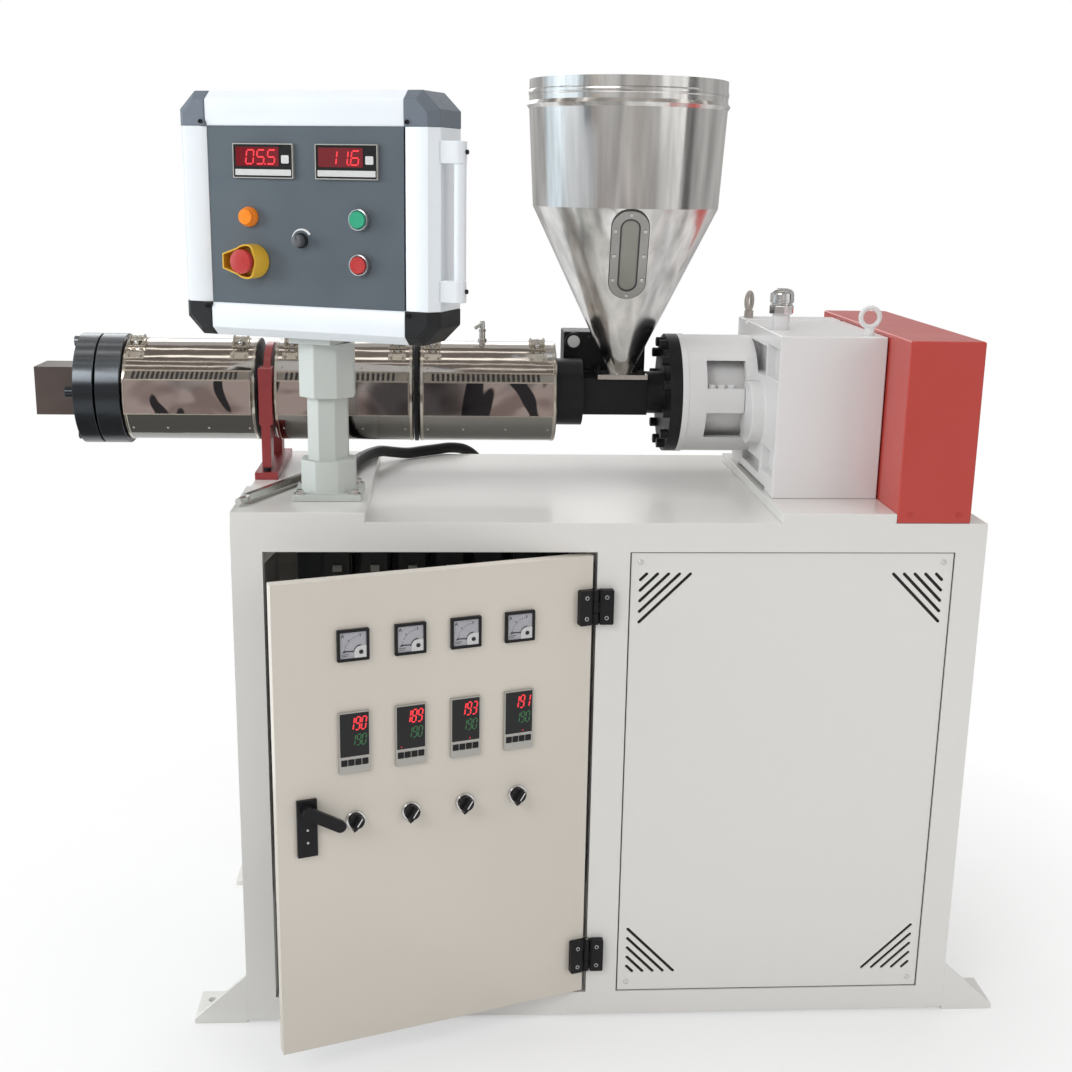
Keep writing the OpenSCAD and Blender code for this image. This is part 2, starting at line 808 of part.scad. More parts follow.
// A loose hexagonal turning bar with a round tip, lying on the left seat
module hex_bar() {
    across = 16;
    color("gray")
        translate([-cab_l / 2 + 9, front_y + 35, seat_top + across / 2])
            rotate([0, 90, 66]) {
                cylinder(r = 6, h = 24, $fn = 48);
                translate([0, 0, 22]) rotate([0, 0, 30])
                    cylinder(r = across / 2 / cos(30), h = 190, $fn = 6);
            }
}

// A tube swept along a smooth curve through the route's points
function curve_point(p, i, t) =
    let (a = p[max(i - 1, 0)], b = p[i], c = p[i + 1], d = p[min(i + 2, len(p) - 1)])
    0.5 * (2 * b + (c - a) * t + (2 * a - 5 * b + 4 * c - d) * t * t
           + (3 * b - a - 3 * c + d) * t * t * t);
function curve(p, n) = [for (i = [0 : len(p) - 2]) for (k = [0 : n - 1]) curve_point(p, i, k / n),
                        p[len(p) - 1]];
function unit(v) = v / norm(v);
function heading(q, i) = unit(q[min(i + 1, len(q) - 1)] - q[max(i - 1, 0)]);
function side_vector(h) = unit(cross(h, [0.3, 0.1, 1]));
function ring(q, i, r, sides) =
    let (h = heading(q, i), u = side_vector(h), v = cross(h, u))
    [for (j = [0 : sides - 1]) q[i] + r * (cos(360 * j / sides) * u + sin(360 * j / sides) * v)];

module swept_tube(route, r, sides, steps) {
    q = curve(route, steps);
    n = len(q);
    points = [for (i = [0 : n - 1]) each ring(q, i, r, sides)];
    walls = [for (i = [0 : n - 2]) for (j = [0 : sides - 1])
             [i * sides + j, i * sides + (j + 1) % sides,
              (i + 1) * sides + (j + 1) % sides, (i + 1) * sides + j]];
    start = [for (j = [sides - 1 : -1 : 0]) j];
    end = [for (j = [0 : sides - 1]) (n - 1) * sides + j];
    polyhedron(points, concat([start], walls, [end]));
}

module control_conduit() {
    color("black") swept_tube(conduit_route, conduit_r, 10, 3);
}

// An elbow on the back wall, with its mouth turned up
module elbow_gland() {
    mouth = conduit_route[len(conduit_route) - 1];
    elbow_r = 15;
    elbow_h = 45;
    translate([mouth.x, mouth.y, mouth.z - elbow_h]) {
        cylinder(r = elbow_r, h = elbow_h, $fn = 48);
        translate([0, 0, elbow_r])
            rotate([90, 0, 0]) cylinder(r = elbow_r - 1, h = mouth.y + front_y, $fn = 48);
    }
}

// The glands at both ends of the conduit
module conduit_glands() {
    color("black") {
        translate([post_x + 12, post_y + collar_w / 2, seat_top + 34])
            rotate([-90, 0, 0]) cylinder(r = 15, h = 14, $fn = 48);
        elbow_gland();
    }
}

module control_post() {
    color("lightgray")
        translate([post_x, post_y, seat_top]) {
            translate([-post_foot_w / 2, -post_foot_w / 2, 0])
                cube([post_foot_w, post_foot_w, post_foot_t]);
            translate([0, 0, post_foot_t]) octagon(collar_w, 50);
            translate([0, 0, post_foot_t]) octagon(post_w, post_h - post_foot_t);
            translate([0, 0, post_h - 84]) octagon(collar_w, 84);
        }
}

// One corner of the box, the same outline as the casting that fills it
module corner_outline() {
    polygon([[box_w / 2 - corner_w, box_h / 2], [box_w / 2 - chamfer, box_h / 2],
             [box_w / 2, box_h / 2 - chamfer], [box_w / 2, box_h / 2 - corner_h],
             [box_w / 2 - corner_w, box_h / 2 - corner_h]]);
}

// The swivel plate reaches from the post's axis to under the box
module box_shell() {
    swivel_r = 38;
    swivel_w = 70;
    swivel_in = 24;
    swivel_h = 10 - seat_gap;
    color("lightgray") on_box() {
        difference() {
            translate([0, box_d, 0]) rotate([90, 0, 0]) linear_extrude(box_d) {
                square([panel_w + 2 * lip, box_h], center = true);
                square([box_w, panel_h + 2 * lip], center = true);
            }
            translate([-panel_w / 2, -1, -panel_h / 2]) cube([panel_w, panel_t + 1, panel_h]);
        }
        translate([-box_shift, box_front, -box_h / 2 - swivel_h])
            cylinder(r = swivel_r, h = swivel_h, $fn = fine);
        translate([-box_shift - swivel_w / 2, swivel_in, -box_h / 2 - swivel_h])
            cube([swivel_w, box_front - swivel_in, swivel_h]);
    }
}

// Castings with a chamfer, as deep as the box and a little proud of it
module box_corners() {
    proud = 1.5;
    color("dimgray") on_box()
        for (sx = [0, 1])
            for (sz = [0, 1])
                mirror([sx, 0, 0]) mirror([0, 0, sz])
                    translate([0, box_d + proud, 0]) rotate([90, 0, 0])
                        linear_extrude(box_d + 2 * proud) corner_outline();
}

module control_panel() {
    color("darkslategray") on_box()
        translate([-panel_w / 2, 0, -panel_h / 2]) cube([panel_w, panel_t, panel_h]);
}

module panel_meters() {
    color("black") on_box()
        for (x = [-65, 70])
            translate([x - 49.5, -5, 79 - 24.5]) cube([99, 5, 49]);
}

module ring_y(x, z, r, h) {
    translate([x, 0, z]) rotate([90, 0, 0]) cylinder(r = r, h = h, $fn = 48);
}

// A bezel with a guide hole for a push button
module bezel(x, z, r, hole_r, h) {
    difference() {
        ring_y(x, z, r, h);
        translate([0, 1, 0]) ring_y(x, z, hole_r, h + 2);
    }
}

// The guard around the emergency button, with a wing on its left
module stop_guard() {
    wing = [[-34.5, -11], [-34.5, 11], [-12, 20], [stop_guard_shift, 20],
            [stop_guard_shift, -20], [-12, -20]];
    difference() {
        union() {
            ring_y(lamp_x + stop_guard_shift, button_zs[1], stop_guard_r, stop_guard_t);
            translate([lamp_x, 0, button_zs[1]]) rotate([90, 0, 0])
                linear_extrude(stop_guard_t) polygon(wing);
        }
        translate([0, 1, 0])
            ring_y(lamp_x, button_zs[1], mushroom_r + mushroom_gap, stop_guard_t + 2);
    }
}

// Fixed fittings: the lamp, the bezels and the guard around the emergency button
module panel_fittings() {
    color("silver") on_box() {
        ring_y(lamp_x, -1, 14, 12);
        for (z = button_zs)
            bezel(button_x, z, 16, button_r + seat_gap, 9);
        bezel(lamp_x, button_zs[1], 15, stem_r + seat_gap, 9);
        stop_guard();
        ring_y(knob_x, knob_z, 8, 5);
    }
}

module speed_knob() {
    color("gray") on_box() translate([0, -5 - seat_gap, 0]) {
        ring_y(knob_x, knob_z, 9, 12);
        translate([knob_x - 1, -14, knob_z]) cube([2, 4, 8]);
    }
}

module start_button() {
    color("green") on_box() translate([0, -4 - seat_gap, 0])
        ring_y(button_x, button_zs[0], button_r, 8);
}

module stop_button() {
    color("red") on_box() translate([0, -4 - seat_gap, 0])
        ring_y(button_x, button_zs[1], button_r, 8);
}

// A mushroom head on a stem that slides in its bezel
module emergency_button() {
    color("red") on_box() translate([0, -6 - seat_gap, 0]) {
        ring_y(lamp_x, button_zs[1], stem_r, 15);
        translate([0, -14, 0]) ring_y(lamp_x, button_zs[1], mushroom_r, 13);
    }
}

// Two blocks on the box's side carry a round bar
module side_handle() {
    block_y = 8;
    block_d = 24;
    reach = 35;
    color("silver") on_box()
        translate([box_w / 2, block_y, 0]) {
            for (z = [-114, 79])
                translate([0, 0, z]) cube([reach, block_d, 31]);
            translate([reach - 9.5, block_d / 2, -84]) cylinder(r = 9, h = 168, $fn = 48);
        }
}

front_stiles();
front_rails();
side_walls();
back_wall();
cabinet_floor();
tabletop();
machined_seats();
foot_brackets();
floor_pads();
mounting_plate();
switchgear();
vent_panel();
frame_hinge_leaves();
door_panel();
door_hinge_leaves();
ammeters();
temperature_controllers();
selector_bodies();
selector_knob_1();
selector_knob_2();
selector_knob_3();
selector_knob_4();
lock_plate();
lock_lever();
gearbox_housing();
gearbox_fittings();
lantern_housing();
drive_flange();
feed_throat();
junction_box();
barrel_tube();
heater_covers();
heater_fittings();
barrel_support();
clamp_rings();
die_block();
hopper_shell();
hopper_base_plate();
sight_frame();
sight_pane();
belt_guard();
hex_bar();
control_post();
control_conduit();
conduit_glands();
box_shell();
box_corners();
control_panel();
panel_meters();
panel_fittings();
speed_knob();
start_button();
stop_button();
emergency_button();
side_handle();
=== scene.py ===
# %% [markdown]
# # A single-screw filament extruder
# The machine stands on a steel cabinet. Pellets fall from the hopper into a heated
# barrel, and a screw pushes the melt out through the square die at the left end.
# The CAD model is loaded first. It fixes every place and every body that moves, and
# Blender adds the finishes and the small parts around it.

# %% Load the frame
import json
import math

import bmesh
import bpy
from mathutils import Matrix, Vector


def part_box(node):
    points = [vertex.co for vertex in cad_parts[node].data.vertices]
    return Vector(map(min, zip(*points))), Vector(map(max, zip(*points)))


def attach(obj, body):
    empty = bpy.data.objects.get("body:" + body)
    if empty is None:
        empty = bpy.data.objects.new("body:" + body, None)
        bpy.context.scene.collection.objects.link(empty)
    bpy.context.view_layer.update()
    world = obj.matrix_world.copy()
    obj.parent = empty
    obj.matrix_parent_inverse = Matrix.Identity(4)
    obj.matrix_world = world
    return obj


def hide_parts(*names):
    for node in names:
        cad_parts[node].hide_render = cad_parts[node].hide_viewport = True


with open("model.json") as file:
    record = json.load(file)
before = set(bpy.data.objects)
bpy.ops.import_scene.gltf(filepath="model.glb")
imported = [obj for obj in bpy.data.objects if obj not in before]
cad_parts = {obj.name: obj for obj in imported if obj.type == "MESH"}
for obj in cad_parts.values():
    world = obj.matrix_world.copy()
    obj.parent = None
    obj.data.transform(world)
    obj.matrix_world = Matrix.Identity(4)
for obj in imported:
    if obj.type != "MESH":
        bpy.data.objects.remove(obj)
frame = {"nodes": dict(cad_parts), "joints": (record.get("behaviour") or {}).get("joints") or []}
scene = bpy.context.scene
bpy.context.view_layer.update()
joints = {joint["name"]: joint for joint in frame["joints"]}


def new_object(name, data):
    """Puts a mesh, a curve, a lamp or a camera into the scene."""
    thing = bpy.data.objects.new(name, data)
    scene.collection.objects.link(thing)
    return thing


# %% [markdown]
# ## The camera
# A viewer stands a little left of the middle, at head height, and looks slightly down.
# A Camera object could be aimed with a Track To constraint, but a written matrix keeps
# its small roll as well, so the matrix is used.

# %% Camera
EYE, LENS, SENSOR = (-0.2533, -2.3538, 1.3506), 47.505, 36.0
YAW, PITCH, ROLL = 0.0639, 0.2474, 0.0174
camera_data = bpy.data.cameras.new("camera")
camera_data.sensor_width = SENSOR
camera_data.lens = LENS
camera = new_object("camera", camera_data)
camera.matrix_world = (Matrix.Translation(EYE)
                       @ Matrix.Rotation(-YAW, 4, "Z")
                       @ Matrix.Rotation(math.pi / 2 - PITCH, 4, "X")
                       @ Matrix.Rotation(ROLL, 4, "Z"))
scene.camera = camera
print("camera at", tuple(camera.location))

# %% [markdown]
# ## Points and frames
# Sizes are written in millimetres, as on a drawing, while Blender works in metres. A
# frame is a matrix that carries a point from a part's own axes to its place, such as
# the open door's. Parenting to a turned empty would do the same, but would leave each
# object turned.

# %% Points and frames
MM = 0.001
IDENTITY = Matrix.Identity(4)


def at(place, x, y, z):
    """A point of a frame, given in millimetres."""
    return place @ Vector((x * MM, y * MM, z * MM))


def way(place, x, y, z):
    """A direction of a frame."""
    return place.to_3x3() @ Vector((x, y, z))


def shift(x, y, z):
    """The frame that moves by millimetres."""
    return Matrix.Translation((x * MM, y * MM, z * MM))


def turn(degrees, axis):
    """The frame that turns round an axis."""
    return Matrix.Rotation(math.radians(degrees), 4, axis)


def polar(radius, degrees, x=0.0, y=0.0):
    """The point at an angle on a circle round (x, y)."""
    a = math.radians(degrees)
    return x + radius * math.cos(a), y + radius * math.sin(a)


def corners(node):
    """The box of a CAD node in millimetres."""
    return [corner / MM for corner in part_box(node)]


print("frames ready")

# %% [markdown]
# ## Simple solids
# Most parts are boxes, turned shapes, or flat outlines pushed through along one axis.
# Blender's own primitives would need an object each, so these helpers add their shapes
# to one bmesh, in any frame.

# %% Boxes and turned shapes
def block(bm, lo, hi, place=IDENTITY):
    """A box between two corners."""
    mid = [(a + b) / 2 * MM for a, b in zip(lo, hi)]
    size = [abs(b - a) * MM for a, b in zip(lo, hi)]
    matrix = place @ Matrix.Translation(mid) @ Matrix.Diagonal((*size, 1))
    bmesh.ops.create_cube(bm, size=1, matrix=matrix)


def turned(bm, profile, place=IDENTITY, sides=48):
    """Turns a closed profile of (radius, height) points round the local Z axis."""
    rings = []
    for radius, height in profile:
        count = sides if radius > 0 else 1
        rings.append([bm.verts.new(at(place, *polar(radius, 360 * i / sides), height))
                      for i in range(count)])
    for a, b in zip(rings, rings[1:] + rings[:1]):
        for i in range(sides):
            j = (i + 1) % sides
            corners_of_face = [a[i % len(a)], a[j % len(a)], b[j % len(b)], b[i % len(b)]]
            unique = list(dict.fromkeys(corners_of_face))
            if len(unique) > 2:
                bm.faces.new(unique)


def blocks(boxes, place=IDENTITY):
    """A bmesh of boxes, each given by two corners."""
    bm = bmesh.new()
    for lo, hi in boxes:
        block(bm, lo, hi, place)
    return bm


def lathe(profile, place, sides=48):
    """A bmesh of one turned shape."""
    bm = bmesh.new()
    turned(bm, profile, place, sides)
    return bm


print("boxes and turned shapes ready")

# %% [markdown]
# ## Pushed outlines
# A bar of any section is its outline, pushed through along an axis. A wall between two
# outlines closes on itself instead. Both are rows of corners joined by faces.

# %% Pushed outlines
def skin(bm, rows, loop=False):
    """Joins rows of corners with faces, and caps the ends unless they form a loop."""
    pairs = list(zip(rows, rows[1:]))
    if loop:
        pairs.append((rows[-1], rows[0]))
    else:
        bm.faces.new(rows[0])
        bm.faces.new(rows[-1][::-1])
    for low, high in pairs:
        for i in range(len(low)):
            j = (i + 1) % len(low)
            bm.faces.new((low[j], low[i], high[i], high[j]))


PUSH = {"X": lambda u, v, depth: (depth, u, v),
        "Y": lambda u, v, depth: (u, depth, v),
        "Z": lambda u, v, depth: (u, v, depth)}


def row(bm, outline, depth, place=IDENTITY, axis="Y"):
    """The corners of a flat outline that stands at a depth along an axis."""
    return [bm.verts.new(at(place, *PUSH[axis](u, v, depth))) for u, v in outline]


def prism(bm, outline, start, end, place=IDENTITY, axis="Y"):
    """Pushes a flat outline through along an axis."""
    skin(bm, [row(bm, outline, depth, place, axis) for depth in (start, end)])


def tube_wall(bm, outer, inner, y0, y1, place=IDENTITY):
    """A wall between two outlines with as many points each."""
    skin(bm, [row(bm, outline, y, place) for outline, y in
              ((outer, y0), (outer, y1), (inner, y1), (inner, y0))], loop=True)


print("pushed outlines ready")

# %% [markdown]
# ## Outlines
# The flat outlines are lists of points: round corners, circles and slots are arcs
# joined by straight sides, so one arc helper draws them all.

# %% Outlines
def arc(radius, start, end, steps, x=0.0, z=0.0):
    """Points along an arc, from one angle to another."""
    return [polar(radius, start + (end - start) * k / steps, x, z) for k in range(steps + 1)]


def rounded(width, height, radius, x=0.0, z=0.0, steps=5):
    """The outline of a rectangle with round corners."""
    w, h = width / 2 - radius, height / 2 - radius
    return [point for quarter, (sx, sz) in enumerate(((1, 1), (-1, 1), (-1, -1), (1, -1)))
            for point in arc(radius, 90 * quarter, 90 * quarter + 90, steps,
                             x + sx * w, z + sz * h)]


def scaled(outline, across, along):
    """The same outline, stretched or shrunk."""
    return [(u * across, v * along) for u, v in outline]


def oval(width, length):
    """The outline of a slot with round ends."""
    radius, straight = width / 2, (length - width) / 2
    return arc(radius, 0, 180, 15, 0, straight) + arc(radius, 180, 360, 15, 0, -straight)


print("outlines ready")

# %% [markdown]
# ## Reading the CAD model
# A CAD node may hold several separate solids, such as two hinge leaves. Walking from
# corner to corner along the edges finds each one, and its box says where to put the
# fine parts.

# %% Separate solids of a node
def cad_copy(node):
    """A bmesh of a CAD node with its doubled corners merged."""
    bm = bmesh.new()
    bm.from_mesh(frame["nodes"][node].data)
    bmesh.ops.remove_doubles(bm, verts=bm.verts, dist=0.01 * MM)
    return bm


def plain_copy(node):
    """The same with its flat triangles joined to whole faces."""
    bm = cad_copy(node)
    bmesh.ops.dissolve_limit(bm, angle_limit=math.radians(1.0), verts=bm.verts, edges=bm.edges)
    return bm


def groups(bm, place=IDENTITY):
    """Each separate solid's corners, with its box in a frame in millimetres."""
    inverse = place.inverted()
    seen, found = set(), []
    for start in bm.verts:
        if start in seen:
            continue
        group, queue = [], [start]
        seen.add(start)
        while queue:
            vert = queue.pop()
            group.append(vert)
            for edge in vert.link_edges:
                other = edge.other_vert(vert)
                if other not in seen:
                    seen.add(other)
                    queue.append(other)
        points = [inverse @ vert.co / MM for vert in group]
        lo, hi = (Vector([pick(p[k] for p in points) for k in range(3)]) for pick in (min, max))
        found.append((group, lo, hi))
    return found


def islands(node, place=IDENTITY):
    """The boxes of a node's separate solids, from left to right."""
    bm = cad_copy(node)
    boxes = [(lo, hi) for _, lo, hi in groups(bm, place)]
    bm.free()
    return sorted(boxes, key=lambda pair: pair[0].x + pair[1].x)


def centre(node, place=IDENTITY):
    """The middle (x, z) of a node's first solid."""
    mid = sum(islands(node, place)[0], Vector()) / 2
    return mid.x, mid.z


def solid_at(node, x):
    """A bmesh of the one separate solid of a node whose box starts at x."""
    bm = plain_copy(node)
    for group, lo, hi in groups(bm):
        if abs(lo.x - x) > 2:
            bmesh.ops.delete(bm, geom=group, context="VERTS")
    return bm


print("front rails", len(islands("front_rails")))

# %% [markdown]
# ## From mesh to piece
# A piece needs normals that point outwards, a finish and a body to ride on. A
# Bevel modifier rounds its edges, because no real edge is perfectly sharp and the
# rounding is what catches the light.

# %% Pieces
NO_BEVEL = 0.0
BEVEL_ANGLE = 34


def new_mesh(name, bm, smooth=None):
    """A mesh from a bmesh, shaded smooth except at edges sharper than an angle."""
    if smooth:
        bmesh.ops.recalc_face_normals(bm, faces=bm.faces)
    mesh = bpy.data.meshes.new(name)
    bm.to_mesh(mesh)
    bm.free()
    if smooth:
        mesh.shade_smooth()
        mesh.set_sharp_from_angle(angle=math.radians(smooth))
    return mesh


def ride(piece, body, replaces=None):
    """Sets a piece on its body, and hides the CAD node that it replaces."""
    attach(piece, body)
    if replaces:
        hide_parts(replaces)


def make(name, bm, material, body="machine", bevel=NO_BEVEL, smooth=32,
         replaces=None, segments=2):
    """Turns the bmesh into a piece on its body, with its edges rounded by a bevel."""
    mesh = new_mesh(name, bm, smooth)
    mesh.materials.append(material)
    piece = new_object(name, mesh)
    if bevel:
        edge = piece.modifiers.new("soft edges", "BEVEL")
        edge.width = bevel * MM
        edge.segments = segments
        edge.limit_method = "ANGLE"
        edge.angle_limit = math.radians(BEVEL_ANGLE)
        edge.harden_normals = True
    ride(piece, body, replaces)


def softened(node, material, width, body="machine", segments=2):
    """A copy of a CAD node with its edges rounded."""
    make(node + "_soft", plain_copy(node), material, body, bevel=width,
         smooth=BEVEL_ANGLE, replaces=node, segments=segments)


print("pieces ready")

# %% [markdown]
# ## Finishes
# Enamel, bright steel and moulded plastic differ in colour, gloss and the fine relief
# that breaks up their highlights. A single colour on the shader would look like a toy.
# Each finish therefore mixes two near tones with a slow noise, varies its roughness
# with a second one, and adds a fine bump, all in Object coordinates.

# %% Finish helpers
def fill(tree, node, inputs):
    """Sets a node's inputs, and links those that are given another node's output."""
    for name, value in inputs.items():
        if isinstance(value, bpy.types.NodeSocket):
            tree.links.new(value, node.inputs[name])
        else:
            node.inputs[name].default_value = value


def add(tree, kind, inputs=None, **settings):
    """Adds a node with its settings and inputs."""
    node = tree.nodes.new(kind)
    for name, value in settings.items():
        setattr(node, name, value)
    fill(tree, node, inputs or {})
    return node


def new_finish(name):
    """A new material, its node tree and its shader."""
    material = bpy.data.materials.new(name)
    material.use_nodes = True
    return material, material.node_tree, material.node_tree.nodes["Principled BSDF"]


def coords(tree):
    """The Object coordinates."""
    return add(tree, "ShaderNodeTexCoord").outputs["Object"]


def noise(tree, scale, detail=3.0, stretch=(1, 1, 1), distortion=0.0):
    """A noise texture whose pattern may be stretched along the axes."""
    mapping = add(tree, "ShaderNodeMapping", {"Vector": coords(tree), "Scale": stretch})
    return add(tree, "ShaderNodeTexNoise", {
        "Vector": mapping.outputs["Vector"], "Scale": scale, "Detail": detail,
        "Distortion": distortion}).outputs["Fac"]


def between(tree, value, low, high, source=(0.3, 0.7)):
    """Maps a texture's value to a range."""
    return add(tree, "ShaderNodeMapRange", {
        "Value": value, "From Min": source[0], "From Max": source[1], "To Min": low,
        "To Max": high}).outputs["Result"]


def mixed(tree, factor, first, second):
    """Mixes two colours by a texture's value."""
    return add(tree, "ShaderNodeMix", {"Factor": factor, "A": first, "B": second},
               data_type="RGBA").outputs["Result"]


def relief(tree, value, strength, distance):
    """Turns a texture's value into a bump."""
    return add(tree, "ShaderNodeBump", {"Height": value, "Strength": strength,
                                        "Distance": distance}).outputs["Normal"]


print("shader nodes ready")

# %% [markdown]
# ## The common finish
# Nearly every finish follows one recipe, so a single function takes its colour, gloss
# and relief. A paint, a metal and a plastic then differ only in their numbers.

# %% The common finish
def tint(colour, factor):
    """A colour made darker or lighter, with its alpha."""
    return (*(min(1.0, part * factor) for part in colour), 1)


def near_tones(tree, factor, colour, spread):
    """Mixes a slightly darker and a slightly lighter tone of a colour."""
    return mixed(tree, factor, tint(colour, 1 - spread), tint(colour, 1 + spread))


def surface(name, colour, roughness, metallic=0.0, spread=0.05, patch=3.0, rough_spread=0.06,
            grain=500.0, grain_depth=0.0, stretch=(1, 1, 1), coat=0.0, detail=3.0,
            shine=0.5):
    """The common finish: two near tones, uneven gloss and a fine relief."""
    material, tree, shader = new_finish(name)
    tone = between(tree, noise(tree, patch, detail), 0.0, 1.0, (0.2, 0.8))
    gloss = between(tree, noise(tree, patch * 4, detail, stretch),
                    max(0.02, roughness - rough_spread), roughness + rough_spread, (0.2, 0.8))
    fill(tree, shader, {
        "Base Color": near_tones(tree, tone, colour, spread), "Roughness": gloss,
        "Metallic": metallic, "Specular IOR Level": shine, "Coat Weight": coat,
        "Coat Roughness": 0.12})
    if grain_depth:
        fine = noise(tree, grain, 2.0, stretch)
        fill(tree, shader, {"Normal": relief(tree, fine, 0.35, grain_depth)})
    return material


print("common finish ready")

# %% [markdown]
# ## The finishes of this machine
# The cabinet and the gearbox carry glossy enamel, the covers over the heaters and the
# hopper are polished stainless steel, and the flanges are blackened. Every finish is
# made once here, so that the same paint looks the same wherever it is used.

# %% Enamels and paints
cabinet_enamel = surface("cabinet_enamel", (0.745, 0.735, 0.71), 0.31, spread=0.014, patch=1.5,
                         rough_spread=0.025, grain=110, grain_depth=0.00006, coat=0.35, detail=0)
door_enamel = surface("door_enamel", (0.65, 0.605, 0.54), 0.36, spread=0.03,
                      rough_spread=0.02, grain=110, grain_depth=0.00006, coat=0.2, detail=0)
gear_enamel = surface("gear_enamel", (0.75, 0.745, 0.745), 0.31, spread=0.014,
                      patch=1.5, rough_spread=0.025, grain=90, grain_depth=0.00012, coat=0.35,
                      detail=0)
post_enamel = surface("post_enamel", (0.49, 0.515, 0.49), 0.38, spread=0.04,
                      grain=300, grain_depth=0.0004)
red_paint = surface("red_paint", (0.50, 0.050, 0.038), 0.34, spread=0.04,
                    rough_spread=0.05, grain=110, grain_depth=0.0001, coat=0.25)
black_metal = surface("black_metal", (0.010, 0.010, 0.012), 0.36, spread=0.25, patch=14,
                      rough_spread=0.08, shine=0.24, grain=600, grain_depth=0.0005)
dark_steel = surface("dark_steel", (0.035, 0.042, 0.05), 0.33, metallic=0.55, spread=0.3,
                     patch=16, rough_spread=0.12, grain=500, grain_depth=0.0006)
print("paints ready")

# %% [markdown]
# ## Polished and brushed steel
# Polished sheet is never quite flat, so its reflections wander. A slow, strong bump
# bends them. Brushed and turned steel has fine lines along one way instead, which come
# from a noise that is squeezed along that way. Steel that is lighter above and darker
# below carries painted shade and painted reflection in its colour.

# %% Polished steel, and steel with painted shade by height
def polished(name, colour, roughness, waves, depth, stretch=(1, 1, 1), spread=0.12):
    """Mirror-like sheet steel with gently wandering reflections."""
    material, tree, shader = new_finish(name)
    slow = noise(tree, waves, 2.0, stretch, distortion=0.6)
    patches = noise(tree, waves * 1.7, 3.0, stretch, distortion=0.4)
    tone = between(tree, patches, 0.0, 1.0, (0.35, 0.65))
    fill(tree, shader, {
        "Base Color": near_tones(tree, tone, colour, spread), "Roughness": roughness,
        "Metallic": 1.0, "Normal": relief(tree, slow, 0.9, depth)})
    return material


def tempered(name, middle, stops, roughness, metallic=1.0, wobble=0.0018):
    """Steel whose colour follows the height: painted shade and painted reflection, lighter above
    and darker below.

    The stops are (height above the middle in metres, colour).
    """
    material, tree, shader = new_finish(name)
    waves = noise(tree, 16.0, 2.0, (0.5, 1, 1), distortion=0.5)
    split = add(tree, "ShaderNodeSeparateXYZ", {0: coords(tree)})
    bent = add(tree, "ShaderNodeMath", {0: waves, 1: 2 * wobble, 2: split.outputs["Z"]},
               operation="MULTIPLY_ADD")
    low, high = stops[0][0], stops[-1][0]
    height = between(tree, bent.outputs["Value"], 0.0, 1.0,
                     (middle + low + wobble, middle + high + wobble))
    ramp = add(tree, "ShaderNodeValToRGB", {"Fac": height})
    while len(ramp.color_ramp.elements) < len(stops):
        ramp.color_ramp.elements.new(0.5)
    for element, (level, colour) in zip(ramp.color_ramp.elements, stops):
        element.position = (level - low) / (high - low)
        element.color = (*colour, 1)
    gloss = noise(tree, 40.0, 3.0, (0.1, 1, 1))
    fine = noise(tree, 22.0, 2.0, (0.3, 1, 1), distortion=0.5)
    fill(tree, shader, {
        "Base Color": ramp.outputs["Color"], "Metallic": metallic,
        "Roughness": between(tree, gloss, roughness * 0.75, roughness * 1.3),
        "Normal": relief(tree, fine, 0.6, 0.0012)})
    return material


def mirror_plate(name):
    """A thin mirror sheet with painted reflections: warm tones and hard-edged dark patches in
    its colour, bent by a bump.
    """
    material, tree, shader = new_finish(name)
    broad = noise(tree, 8.0, 1.0, (1, 1, 1.3), distortion=1.5)
    second = noise(tree, 6.0, 1.0, (1.6, 1, 1), distortion=1.8)
    warm = mixed(tree, between(tree, broad, 0.0, 1.0, (0.44, 0.56)),
                 (0.34, 0.285, 0.268, 1), (0.56, 0.50, 0.475, 1))
    dark = between(tree, second, 0.0, 1.0, (0.60, 0.625))
    fill(tree, shader, {
        "Base Color": mixed(tree, dark, warm, (0.045, 0.045, 0.05, 1)), "Roughness": 0.10,
        "Metallic": 0.92, "Normal": relief(tree, broad, 0.35, 0.002)})
    return material
print("steel recipes ready")

# %% [markdown]
# ## Metals
# The covers and the rings are lighter above and darker below, a painted shade and
# painted reflection that follow the height. The hopper is polished sheet, and the rest
# are common finishes, most of them metallic.

# %% Metals
mirror_steel = polished("mirror_steel", (0.50, 0.455, 0.425), 0.10, 9.0, 0.004,
                        stretch=(0.5, 1, 1))
barrel_middle = sum(corner.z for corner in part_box("barrel_tube")) / 2
cover_steel = tempered("cover_steel", barrel_middle, [
    (-0.085, (0.27, 0.265, 0.245)), (-0.030, (0.31, 0.30, 0.28)),
    (0.020, (0.56, 0.51, 0.47)), (0.085, (0.70, 0.65, 0.61))], 0.10)
ring_steel = tempered("ring_steel", barrel_middle, [
    (-0.093, (0.035, 0.039, 0.045)), (0.015, (0.042, 0.047, 0.053)),
    (0.045, (0.13, 0.145, 0.16)), (0.093, (0.19, 0.205, 0.22))], 0.20,
    metallic=0.8, wobble=0.006)
plate_steel = mirror_plate("plate_steel")
slot_black = surface("slot_black", (0.008, 0.008, 0.008), 0.6, spread=0.2, patch=20)
hopper_steel = polished("hopper_steel", (0.76, 0.75, 0.735), 0.19, 22.0, 0.0009,
                        stretch=(1, 1, 0.07), spread=0.22)
window_steel = surface("window_steel", (0.34, 0.335, 0.32), 0.20, metallic=1.0, spread=0.12,
                       patch=14, rough_spread=0.05)
eye_steel = surface("eye_steel", (0.42, 0.385, 0.35), 0.36, metallic=0.4, spread=0.12, patch=20)
bright_steel = surface("bright_steel", (0.60, 0.585, 0.56), 0.20, metallic=1.0, spread=0.10,
                       patch=12, rough_spread=0.05, grain=700, grain_depth=0.0003)
